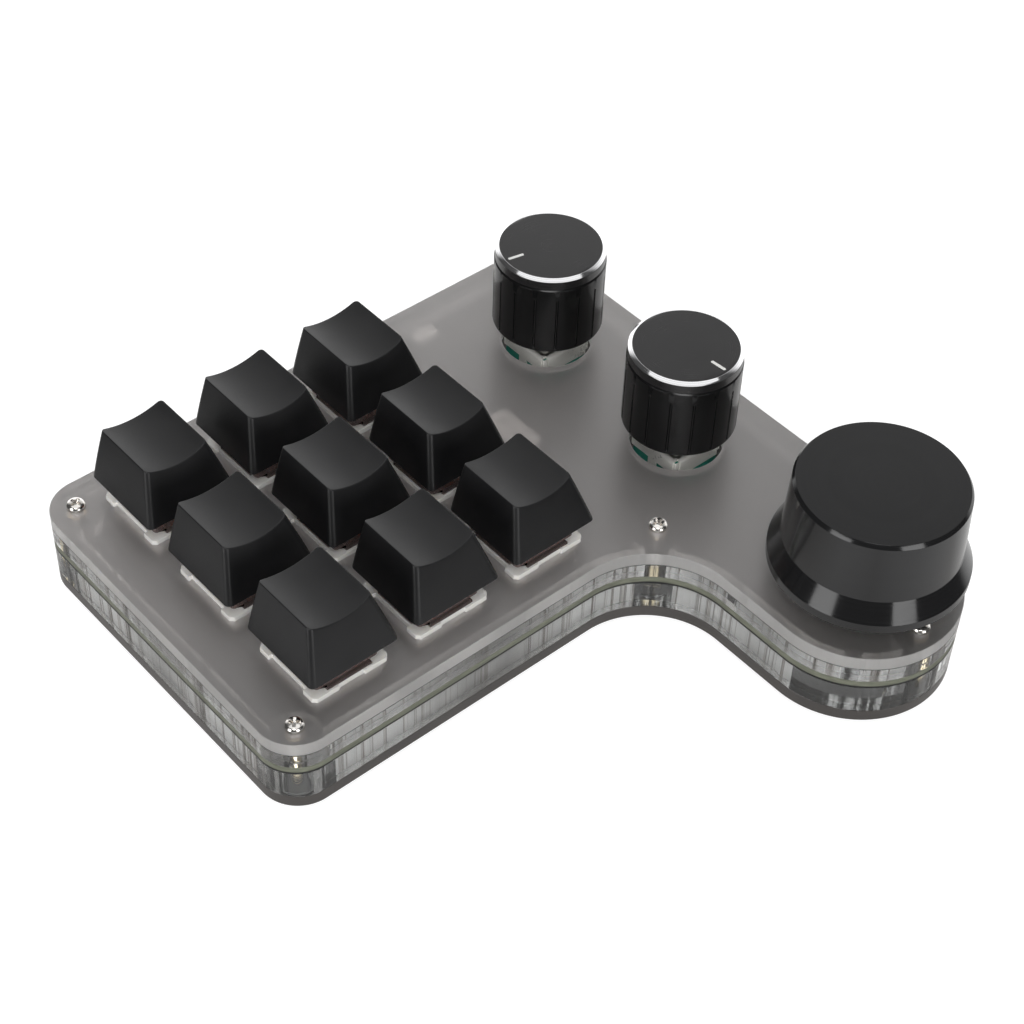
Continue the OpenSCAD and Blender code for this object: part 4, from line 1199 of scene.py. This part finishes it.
# ---------------------------------------------------------------- parts of the board
def add_board_parts():
    s = Shape()
    for x, y in KEYS.values():
        z0, z1 = Z_PCB - 1.8, Z_PCB
        s.box(x - 5.0, x + 2.2, y - 7.3, y - 3.0, z0, z1, 0.18)
        s.box(x + 2.1, x + 6.4, y - 5.0, y - 0.6, z0, z1, 0.18)
        s.box(x - 6.4, x - 4.9, y - 6.2, y - 4.0, Z_PCB - 0.5, z1, 0.05, 1)
        s.box(x + 6.3, x + 7.8, y - 3.6, y - 1.5, Z_PCB - 0.5, z1, 0.05, 1)
        for dx, dy in ((3.9, -2.54), (-2.54, -5.1)):
            s.lathe([(0.45, Z_PCB - 0.1), (1.45, Z_PCB - 0.1), (1.45, Z_UPPER - 0.12), (1.33, Z_UPPER), (0.5, Z_UPPER), (0.45, Z_PCB - 0.1)], (x + dx, y + dy), 28)
    s.object("hotswap_socket_set", "case", [M["nylon"], M["steel"]], "hotswap_sockets", "black_nylon", sharp=35)
    s = Shape()
    cx, cy = 21, 2
    s.box(cx - 4.95, cx + 4.95, cy - 1.95, cy + 1.95, Z_PCB - 1.6, Z_PCB - 0.1, 0.15)
    for i in range(8):
        for sg in (-1, 1):
            x = cx - 4.445 + i * 1.27
            pts = [(1.88, -0.8), (2.35, -0.8), (2.5, -0.62), (2.56, -0.25), (2.7, -0.08), (3.0, -0.08)]
            prof = [(a, b + 0.09) for a, b in pts] + [(a, b - 0.09) for a, b in reversed(pts)]
            prof = [(a, min(b, 0.0)) for a, b in prof]
            ring = [[(x + e, cy + sg * a, Z_PCB + b) for a, b in prof] for e in (-0.2, 0.2)]
            s.rings(ring, 1, cap0=True, cap1=True)
    s.object("microcontroller_chip", "case", [M["chip"], M["steel"]], "microcontroller", "chip_black", sharp=35)
    s = Shape()
    for x, y in KEYS.values():
        x, y = x - 4.4, y + 4.6
        s.box(x - 1.35, x + 1.35, y - 0.8, y + 0.8, Z_PCB - 1.2, Z_PCB - 0.1, 0.12)
        for sg in (-1, 1):
            s.box(x + sg * 1.55 - 0.35, x + sg * 1.55 + 0.35, y - 0.3, y + 0.3, Z_PCB - 0.25, Z_PCB, 0.04, 1)
    s.object("diode_set", "case", [M["chip"], M["steel"]], "diodes", "chip_black", sharp=35)
    s = Shape()
    x, y = 26, HD - 5.0
    pkg = polygon([(-2.05, -1.5), (2.05, -1.5), (2.05, -1.15), (2.5, -1.15), (2.5, 1.15), (2.05, 1.15), (2.05, 1.5), (-2.05, 1.5), (-2.05, 1.15), (-2.5, 1.15), (-2.5, -1.15), (-2.05, -1.15)], 0.06, 2, (x, y))
    s.slab(pkg, [circle(x, y, 1.1, 40)], Z_UPPER, Z_UPPER + 1.3, 0.06, 2)
    s.lathe(fillet([(1.1, Z_UPPER), (1.1, Z_UPPER + 1.25), (1.05, Z_UPPER + 1.38, 0.1), (0.0, Z_UPPER + 1.5)], 3)[::-1] + [(0.0, Z_UPPER)], (x, y), 40)
    s.object("status_light", "case", [M["led"]], "status_led", "led_white", sharp=35)
    s = Shape()
    x, y = 21.1, HD - 36.8
    s.slab(rect(5.6, 11.0, 1.2, 6, (x, y)), [rect(1.2, 8.4, 0.15, 2, (x, y))], Z_UPPER + 0.6, Z_UPPER + 1.7, 0.12, 2)
    s.slab(rect(5.6, 11.0, 1.2, 6, (x, y)), [], Z_UPPER, Z_UPPER + 0.6, 0.02, 1)
    s.object("board_connector_housing", "case", [M["connector"]], "board_connector", "connector_white", sharp=35)
    # USB-C shell with its tongue, mouth towards +Y
    shell = Shape()

    def stadium(w, r, n=12):
        def loop(d=0.0):
            q = r + d
            return arc(w / 2, 0, q, -90, 90, n) + arc(-w / 2, 0, q, 90, 270, n)
        return loop
    out, inn = stadium(5.78, 1.58), stadium(5.78, 1.28)
    lv = lambda f, d, z: [(x, y, z) for x, y in f(d)]
    shell.rings([lv(out, -0.1, 7.35), lv(out, 0, 7.25), lv(out, 0, 0.06), lv(out, -0.06, 0.0), lv(inn, 0.06, 0.0), lv(inn, 0, 0.06), lv(inn, 0, 6.35)], 0, cap0=True, cap1=True)
    tongue = Shape()
    tongue.box(-3.3, 3.3, -0.35, 0.35, 1.6, 6.6, 0.1, 1)
    for i in range(12):
        xx = -2.75 + i * 0.5
        tongue.box(xx - 0.13, xx + 0.13, 0.33, 0.39, 1.75, 5.4, 0.02, 2)
        tongue.box(xx - 0.13, xx + 0.13, -0.39, -0.33, 1.75, 5.4, 0.02, 2)
    s = Shape()
    for part in (shell, tongue):
        s.add([(13.3 + x, HD - 0.3 - z, Z_PCB - 1.6 + y) for x, y, z in part.v], part.f, part.m)
    s.object("usb_c_shell", "case", [M["steel"], M["chip"], M["copper"]], "usb_c_connector", "connector_steel", sharp=35)


# ---------------------------------------------------------------- encoders
def bent_flap(s, width, z_end, mat=0):
    """One side of the bracket, folded down from the top towards +X: strip with a rounded bend, edges eased."""
    t, ro = 0.44, 0.75
    ri = ro - t
    top = E_TOP
    path_out = [(4.6, top)] + [(6.0 - ro + ro * math.sin(math.radians(a)), top - ro + ro * math.cos(math.radians(a))) for a in range(0, 91, 15)] + [(6.0, z_end)]
    path_in = [(4.6, top - t)] + [(6.0 - ro + ri * math.sin(math.radians(a)), top - ro + ri * math.cos(math.radians(a))) for a in range(0, 91, 15)] + [(6.0 - t, z_end)]
    prof = path_out + path_in[::-1]
    loops = []
    e = 0.05
    for w, shrink in ((-width / 2, e), (-width / 2 + e, 0), (width / 2 - e, 0), (width / 2, e)):
        ring = []
        for i, (x, z) in enumerate(prof):
            if shrink:
                j, k = prof[i - 1], prof[(i + 1) % len(prof)]
                dx, dz = k[0] - j[0], k[1] - j[1]
                l = math.hypot(dx, dz) or 1
                x, z = x - dz / l * -shrink * -1, z + dx / l * -shrink * -1 if False else z
                ring.append((x, w, z))
            else:
                ring.append((x, w, z))
        loops.append(ring)
    s.rings(loops, mat, cap0=True, cap1=True)


def encoder_bracket_shape():
    s = Shape()
    half = 5.28
    cut_c = 4.8
    sheet = polygon([(-cut_c, -half), (cut_c, -half), (cut_c, -cut_c), (half, -cut_c), (half, cut_c), (cut_c, cut_c), (cut_c, half), (-cut_c, half), (-cut_c, cut_c), (-half, cut_c), (-half, -cut_c), (-cut_c, -cut_c)], 0.1, 2)
    s.slab(sheet, [circle(0, 0, 3.55, 56)], E_TOP - 0.44, E_TOP, 0.04, 1)
    for turn in (0, 90, 180, 270):
        flap = Shape()
        if turn in (0, 180):
            bent_flap(flap, 10.5, E_TOP - 3.1)
        else:
            bent_flap(flap, 9.6, E_TOP - 4.0)
        s.merge(flap, turn=turn)
    for sg in (-1, 1):
        s.box(sg * 5.78 - 0.22, sg * 5.78 + 0.22, -1.0, 1.0, 9.75, E_TOP - 3.0, 0.08)
    # pinched sheet that closes each corner between two folded sides
    pinch = Shape()
    pinch.slab(polygon([(4.9, 5.64), (5.52, 5.60), (5.60, 5.52), (5.64, 4.9), (5.84, 4.9), (5.80, 5.62), (5.62, 5.80), (4.9, 5.84)], 0.04, 1), [], E_TOP - 3.2, E_TOP - 0.35, 0.04, 1)
    for turn in (0, 90, 180, 270):
        s.merge(pinch, turn=turn)
    return s


def bushing_shape():
    s = Shape()
    prof = [(3.05, 17.6), (4.5, 17.6), (4.5, 18.5), (3.25, 18.5), (3.25, E_TOP + 0.15)]
    z = E_TOP + 0.15
    while z < 23.6:
        prof += [(3.5, z + 0.2), (3.5, z + 0.3), (3.25, z + 0.5), (3.25, z + 0.55)]
        z += 0.6
    prof += [(3.25, 23.9), (3.12, 24.05), (3.05, 24.05), (3.05, 17.6)]
    s.lathe(prof, seg=72)
    return s


def encoder_base_shape():
    s = Shape()
    lv = lambda f, d, z: [(x, y, z) for x, y in f(d)]
    out, well, pit = rect(11.0, 11.0, 0.3, 3), circle(0, 0, 4.7, 56), circle(0, 0, 2.6, 40)
    s.rings([lv(out, -0.12, 12.1), lv(out, 0, 12.22), lv(out, 0, 18.4), lv(out, -0.1, 18.5)], 0, cap0=True)
    s.sheet([out(-0.1), well(0)], 18.5)
    s.rings([lv(well, 0, 18.5), lv(well, 0, 13.1)], 0)
    s.sheet([well(0), pit(0)], 13.1)
    s.rings([lv(pit, 0, 13.1), lv(pit, 0, 12.6)], 0, cap1=True)
    # pins and the lugs that carry them
    for x, sg in ((-2.5, -1), (0, -1), (2.5, -1), (-2.5, 1), (2.5, 1)):
        y0, y1 = sorted((sg * 5.4, sg * 7.4))
        s.box(x - 0.75, x + 0.75, y0, y1, 12.1, 13.5, 0.12, 0)
        s.lathe(fillet([(0, 8.9), (0.4, 8.9, 0.12), (0.4, 12.2), (0, 12.2)], 3), (x, sg * 7.0), 20, 1)
    return s


def d_loop(r, flat, n=56):
    def loop(d=0.0):
        rr, f = r + d, flat + d
        pts = []
        a_cut = math.degrees(math.asin(f / rr))
        pts = arc(0, 0, rr, 180 - a_cut, 360 + a_cut, n)
        return pts
    return loop


def shaft_shape():
    s = Shape()
    lv = lambda f, d, z: [(x, y, z) for x, y in f(d)]
    s.rings([lv(d_loop(2.2, 1.5), -0.1, 13.3), lv(d_loop(2.2, 1.5), 0, 13.4), lv(d_loop(2.2, 1.5), 0, 17.7)], 0, cap0=True, cap1=True)
    s.lathe(fillet([(0, 17.6), (3.0, 17.6, 0.1), (3.0, 20.6), (2.86, 20.7), (2.86, 21.2), (3.0, 21.3), (3.0, 24.7), (0, 24.7)], 2), seg=64)
    big = d_loop(3.0, 1.5)
    s.rings([lv(big, 0, 24.6), lv(big, 0, 33.7), lv(big, -0.15, 33.98), lv(big, -0.4, 34.1)], 0, cap0=True, cap1=True)
    return s


def rotor_shape():
    s = Shape()
    lv = lambda f, d, z: [(x, y, z) for x, y in f(d)]
    bore = d_loop(2.25, 1.55, 40)
    disc, hub = circle(0, 0, 4.5, 96), circle(0, 0, 3.4, 96)
    dots = [circle(3.95 * math.cos(math.radians(a)), 3.95 * math.sin(math.radians(a)), 0.25, 12) for a in range(0, 360, 30)]
    s.rings([lv(disc, -0.08, 14.2), lv(disc, 0, 14.28), lv(disc, 0, 15.72), lv(disc, -0.08, 15.8)], 0)
    s.sheet([disc(-0.08), bore(0)], 14.2)
    s.sheet([disc(-0.08), hub(0)] + [d(0) for d in dots], 15.8)
    for d in dots:
        s.rings([lv(d, 0, 15.8), lv(d, 0, 15.4)], 0, cap1=True)
    s.rings([lv(hub, 0, 15.8), lv(hub, 0, 16.82), lv(hub, -0.08, 16.9)], 0)
    s.sheet([hub(-0.08), bore(0)], 16.9)
    s.rings([lv(bore, 0, 14.2), lv(bore, 0, 16.9)], 0)
    return s


def add_encoders():
    br, bu, ba = Shape(), Shape(), Shape()
    one, two, three = encoder_bracket_shape(), bushing_shape(), encoder_base_shape()
    for x, y in ENC:
        br.merge(one, (x, y, 0))
        bu.merge(two, (x, y, 0))
        ba.merge(three, (x, y, 0))
    br.object("encoder_bracket_set", "case", [M["plated"]], "encoder_brackets", "plated_sheet", sharp=32)
    bu.object("encoder_bushing_set", "case", [M["zinc"]], "encoder_bushings", "zinc_bushing", sharp=32)
    ba.object("encoder_base_set", "case", [M["green"], M["steel"]], "encoder_bases", "encoder_green", sharp=32)
    for k in (1, 2, 3):
        x, y = ENC[k - 1]
        s = Shape()
        s.merge(shaft_shape(), (x, y, 0))
        s.object(f"knob_shaft_{k}", f"knob_{k}", [M["shaft"]], f"encoder_shaft_{k}", "shaft_metal", sharp=32)
        s = Shape()
        s.merge(rotor_shape(), (x, y, 0))
        s.object(f"contact_disc_{k}", f"rotor_{k}", [M["rotor"]], f"encoder_rotor_{k}", "rotor_plastic", sharp=32)


# ---------------------------------------------------------------- knobs
def grooved_shell():
    """Small knob body: skin with narrow upright grooves, hub and ribs inside."""
    s = Shape()
    R, H, G = 10.5, 14.7, 16
    seg_land, seg_groove = 10, 10
    gw = 0.26
    ang, depth = [], []
    for g in range(G):
        c = (g + 0.5) * 360 / G
        half = math.degrees(math.asin(gw / R))
        for i in range(seg_groove + 1):
            t = -1 + 2 * i / seg_groove
            ang.append(c + t * half)
            # round-bottomed groove
            depth.append(0.3 * math.sqrt(max(1 - t * t, 0.0)))
        lo, hi = c + half, c + 360 / G - half
        for i in range(1, seg_land):
            ang.append(lo + (hi - lo) * i / seg_land)
            depth.append(0.0)

    def loop(r, z, g=1.0):
        return [((r - g * d) * math.cos(math.radians(a)), (r - g * d) * math.sin(math.radians(a)), z) for a, d in zip(ang, depth)]
    rings = [loop(R - 1.6, 0.0, 0), loop(R - 0.2, 0.0, 0), loop(R - 0.06, 0.06, 0), loop(R, 0.2, 0), loop(R, 0.5, 0), loop(R, 0.7, 0.6), loop(R, 0.95, 0.92), loop(R, 1.3)]
    for z in (3.0, 6.0, 9.0, 11.6):
        rings.append(loop(R, z))
    for t in (0.25, 0.5, 0.75, 0.95):
        rings.append(loop(R, 11.7 + 0.5 * t, math.sqrt(max(1 - t * t, 0))))
    rings += [loop(R, 12.2, 0), loop(R, H - 0.36, 0), loop(R - 0.04, H - 0.3, 0), loop(R - 0.3, H - 0.02, 0), loop(R - 0.34, H, 0)]
    s.rings(rings, 0, cap1=True)
    n = len(ang)
    s.rings([loop(R - 1.6, 0.0, 0), loop(R - 1.6, H - 1.4, 0)], 0, cap1=True)
    lv = lambda f, d, z: [(x, y, z) for x, y in f(d)]
    hub, bore, mouth = circle(0, 0, 4.6, 64), d_loop(3.02, 1.52), circle(0, 0, 4.0, 64)
    # hub, hanging from the ceiling
    s.rings([lv(hub, 0, H - 1.5), lv(hub, 0, 1.75), lv(hub, -0.15, 1.6), lv(mouth, 0.1, 1.6), lv(mouth, 0, 1.7), lv(mouth, 0, 2.2)], 0, cap0=True)
    s.sheet([mouth(0), bore(0)], 2.2)
    s.rings([lv(bore, 0, 2.2), lv(bore, 0, SHAFT_TOP - SMALL_Z + 0.1)], 0, cap1=True)
    for a in (0, 60, 120):
        for sg in (0, 180):
            rib = Shape()
            rib.box(4.4, R - 1.5, -0.5, 0.5, 4.5, H - 1.3, 0.12)
            s.merge(rib, turn=a + sg)
    return s


def add_small_knobs():
    body = grooved_shell()
    pointer = {1: 168, 2: -85}
    for k in (1, 2):
        x, y = ENC[k - 1]
        s = Shape()
        s.merge(body, (x, y, SMALL_Z))
        s.object(f"small_knob_{k}_body", f"knob_{k}", [M["knob"]], f"small_knob_{k}", "knob_gloss_black", sharp=34)
        # cap: black spun face, bright cut edge, white pointer line
        cap = Shape()
        z0, R = SMALL_Z + 14.7, 10.36
        prof = [(0, z0), (R - 0.1, z0), (R, z0 + 0.1), (R, z0 + 1.72), (R - 0.03, z0 + 1.8), (R - 0.68, z0 + 2.27), (R - 0.76, z0 + 2.3)]
        seg = 144
        cap.lathe(prof, seg=seg, mat=[0, 0, 0, 0, 1, 1, 1])
        # top face with the groove of the pointer line let in
        a = math.radians(pointer[k])
        px = polygon([(5.8, -0.3), (9.0, -0.3), (9.0, 0.3), (5.8, 0.3)], 0.22, 4)
        turn = lambda pts: [(math.cos(a) * u - math.sin(a) * v, math.sin(a) * u + math.cos(a) * v) for u, v in pts]
        rim = [((R - 0.76) * math.cos(2 * math.pi * i / seg), (R - 0.76) * math.sin(2 * math.pi * i / seg)) for i in range(seg)]
        cap.sheet([rim, turn(px(0))], z0 + 2.3, 0)
        cap.rings([[(u, v, z0 + 2.3) for u, v in turn(px(0))], [(u, v, z0 + 2.22) for u, v in turn(px(-0.02))]], 2, cap1=True)
        whole = Shape()
        whole.merge(cap, (x, y, 0))
        whole.object(f"small_knob_{k}_cap", f"knob_{k}", [M[f"cap_face_{k}"], M[f"cap_edge_{k}"], M["pointer"]], f"small_knob_cap_{k}", "knob_cap_metal", sharp=25)


def add_big_knob():
    x, y = ENC[2]
    s = Shape()
    prof = [(0, 10.2), (3.02, 10.2), (3.02, 4.0), (9.0, 4.0), (9.0, 0.15), (9.12, 0.0), (17.3, 0.0, 0.1), (17.5, 0.2, 0.15), (17.5, 1.85, 0.12), (15.62, 5.65, 0.1), (15.58, 5.9), (15.02, 17.25, 0.06), (14.55, 17.98, 0.06), (0, 18.0)]
    prof = fillet(prof, 3)
    s.lathe([(r, z + BIG_Z) for r, z in prof], seg=192)
    hole = Shape()
    hole.lathe([(0, 0), (1.55, 0), (1.55, 14.0), (0, 14.0)], seg=40)
    tilted = Shape()
    tilted.add([(px, 2.0 + pz, BIG_Z + 7.5 + py) for px, py, pz in hole.v], hole.f, 0)
    done = carved(s, tilted)
    whole = Shape()
    whole.merge(done, (x, y, 0))
    whole.object("big_knob_body", "knob_3", [M["big"]], "big_knob", "big_knob_metal", sharp=28)
    g = Shape()
    screw = Shape()
    hexa = polygon([(0.87 * math.cos(math.radians(60 * i)), 0.87 * math.sin(math.radians(60 * i))) for i in range(6)], 0.05, 2)
    out = circle(0, 0, 1.5, 40)
    lv = lambda f, d, z: [(px, py, z) for px, py in f(d)]
    screw.rings([lv(out, -0.5, 1.55), lv(out, -0.1, 1.75), lv(out, 0, 1.9), lv(out, 0, 5.4), lv(out, -0.15, 5.55)], 0, cap0=True)
    screw.sheet([out(-0.15), hexa(0)], 5.55)
    screw.rings([lv(hexa, 0, 5.55), lv(hexa, 0, 4.2)], 0, cap1=True)
    g.add([(x + px, y + pz, BIG_Z + 7.5 + py) for px, py, pz in screw.v], screw.f, 0)
    g.object("big_knob_grub_screw", "knob_3", [M["set_screw"]], "big_knob_set_screw", "set_screw_steel", sharp=32)


add_top_plate()
add_upper_frame()
add_lower_frame()
add_pcb()
add_bottom_plate()
add_screws()
add_standoffs()
add_feet()
add_keycaps()
add_switches()
add_contacts()
add_stems()
add_springs()
add_board_parts()
add_encoders()
add_small_knobs()
add_big_knob()


# ---------------------------------------------------------------- floor, lights, world
def floor_disc(name, mat, r0, r1, z):
    verts, faces, seg, steps = [], [], 96, 6
    for k in range(steps + 1):
        r = r0 + (r1 - r0) * k / steps
        verts += [(r * 0.001 * math.cos(2 * math.pi * i / seg), r * 0.001 * math.sin(2 * math.pi * i / seg), z) for i in range(seg)]
    for k in range(steps):
        for i in range(seg):
            j = (i + 1) % seg
            faces.append((k * seg + j, k * seg + i, (k + 1) * seg + i, (k + 1) * seg + j)[::-1])
    mesh = bpy.data.meshes.new(name)
    mesh.from_pydata(verts, [], faces)
    bm = bmesh.new()
    bm.from_mesh(mesh)
    bmesh.ops.remove_doubles(bm, verts=bm.verts, dist=1e-7)
    bm.normal_update()
    for f in bm.faces:
        if f.normal.z < 0:
            f.normal_flip()
    bm.to_mesh(mesh)
    bm.free()
    mesh.materials.append(mat)
    o = bpy.data.objects.new(name, mesh)
    scene.collection.objects.link(o)
    return o


def add_floor():
    """Pale table. Surfaces of the object mirror a sheet of its size that is dimmer close to the object, as a shaded table is."""
    a = Mat("floor_pale", Roughness=0.9)
    n = a.noise(30, 2.0, 0.5)
    a.set("Base Color", a.ramp(n, [(0.3, (0.30, 0.30, 0.30)), (0.7, (0.32, 0.32, 0.32))]))
    a.set("Emission Color", (1.0, 1.0, 1.0))
    a.set("Emission Strength", 0.88)
    plain = floor_disc("floor_plain", a.mat, 0.0, 1500.0, -0.00002)
    plain.visible_glossy = False
    b = Mat("floor_mirrored", Roughness=0.9)
    x, y, _ = b.xyz()

    def beyond(cx, cy, hx, hy):
        dx = b.math("SUBTRACT", b.math("ABSOLUTE", b.math("SUBTRACT", x, cx)), hx)
        dy = b.math("SUBTRACT", b.math("ABSOLUTE", b.math("SUBTRACT", y, cy)), hy)
        return b.math("MAXIMUM", dx, dy)
    d = b.math("MINIMUM", beyond(0.0, 0.0246, 0.05885, 0.0373), beyond(0.0409, -0.0373, 0.0179, 0.0246))
    light = b.ramp(b.span(d, 0.0, 0.060, 0.0, 1.0), [(0.0, (0.46, 0.45, 0.44)), (0.28, (0.70, 0.69, 0.68)), (0.65, (0.96, 0.96, 0.96)), (1.0, (1.0, 1.0, 1.0))])
    b.set("Base Color", (0.0, 0.0, 0.0))
    b.set("Specular IOR Level", 0.0)
    b.set("Emission Color", light)
    b.set("Emission Strength", 1.0)
    near = floor_disc("floor_near", b.mat, 0.0, 132.0, -0.00003)
    near.visible_camera = near.visible_diffuse = near.visible_transmission = near.visible_shadow = False


def area(name, at, look, w, h, power, colour=(1, 1, 1)):
    d = bpy.data.lights.new(name, "AREA")
    d.shape = "RECTANGLE"
    d.size, d.size_y = w, h
    d.energy = power
    d.color = colour
    o = bpy.data.objects.new(name, d)
    scene.collection.objects.link(o)
    o.location = at
    o.rotation_mode = "QUATERNION"
    o.rotation_quaternion = (Vector(look) - Vector(at)).to_track_quat("-Z", "Y")
    return o


add_floor()
area("overhead", (0.0, -0.02, 1.05), (0.0, 0.0, 0.02), 1.1, 1.1, 0.98 * math.pi * 1.21)
area("side_box_left", (-0.93, -0.05, 0.24), (0.03, -0.04, 0.05), 0.42, 0.46, 4.2 * math.pi * 0.42 * 0.46)
area("near_box", (-0.56, -0.62, 0.93), (0.0, 0.0, 0.01), 0.5, 0.5, 5.6 * math.pi * 0.25)
area("side_box_front", (-0.10, -1.00, 0.24), (0.03, -0.04, 0.05), 0.42, 0.46, 4.2 * math.pi * 0.42 * 0.46)


def add_world():
    """Studio: bright low backdrop behind the object, dark room elsewhere."""
    world = bpy.data.worlds.new("studio")
    scene.world = world
    world.use_nodes = True
    nt = world.node_tree

    def node(kind, **props):
        n = nt.nodes.new(kind)
        for k, v in props.items():
            setattr(n, k, v)
        return n

    def calc(op, a, b=None):
        n = node("ShaderNodeMath", operation=op)
        for s, v in zip(n.inputs, (a, b)):
            if v is None:
                continue
            if hasattr(v, "is_linked"):
                nt.links.new(v, s)
            else:
                s.default_value = v
        return n.outputs[0]
    sep = node("ShaderNodeSeparateXYZ")
    nt.links.new(node("ShaderNodeTexCoord").outputs["Generated"], sep.inputs[0])
    x, y, z = sep.outputs
    flat = calc("SQRT", calc("ADD", calc("MULTIPLY", x, x), calc("MULTIPLY", y, y)))
    toward = calc("DIVIDE", calc("ADD", calc("MULTIPLY", x, math.cos(math.radians(38))), calc("MULTIPLY", y, math.sin(math.radians(38)))), calc("MAXIMUM", flat, 0.001))
    mask = node("ShaderNodeMapRange", interpolation_type="SMOOTHSTEP")
    for k, v in (("From Min", 0.38), ("From Max", 0.64), ("To Min", 0.0), ("To Max", 1.0)):
        mask.inputs[k].default_value = v
    nt.links.new(toward, mask.inputs["Value"])
    ramp = node("ShaderNodeValToRGB")
    stops = [(-0.75, 0.5), (-0.30, 1.0), (0.0, 1.6), (0.28, 1.65), (0.50, 1.15), (0.71, 0.55), (0.87, 0.25), (1.0, 0.12)]
    e = ramp.color_ramp.elements
    while len(e) < len(stops):
        e.new(0.5)
    for i, (h, v) in enumerate(stops):
        e[i].position = (h + 1) / 2
        e[i].color = (v, v, v, 1.0)
    nt.links.new(calc("MULTIPLY", calc("ADD", z, 1.0), 0.5), ramp.inputs["Fac"])
    mix = node("ShaderNodeMix", data_type="RGBA")
    nt.links.new(mask.outputs[0], mix.inputs[0])
    mix.inputs[6].default_value = (0.07, 0.07, 0.07, 1.0)
    nt.links.new(ramp.outputs["Color"], mix.inputs[7])
    back = nt.nodes["Background"]
    nt.links.new(mix.outputs[2], back.inputs[0])
    back.inputs[1].default_value = 1.0


add_world()

scene.view_settings.view_transform = "Standard"
scene.view_settings.look = "None"
scene.view_settings.exposure = 0.0
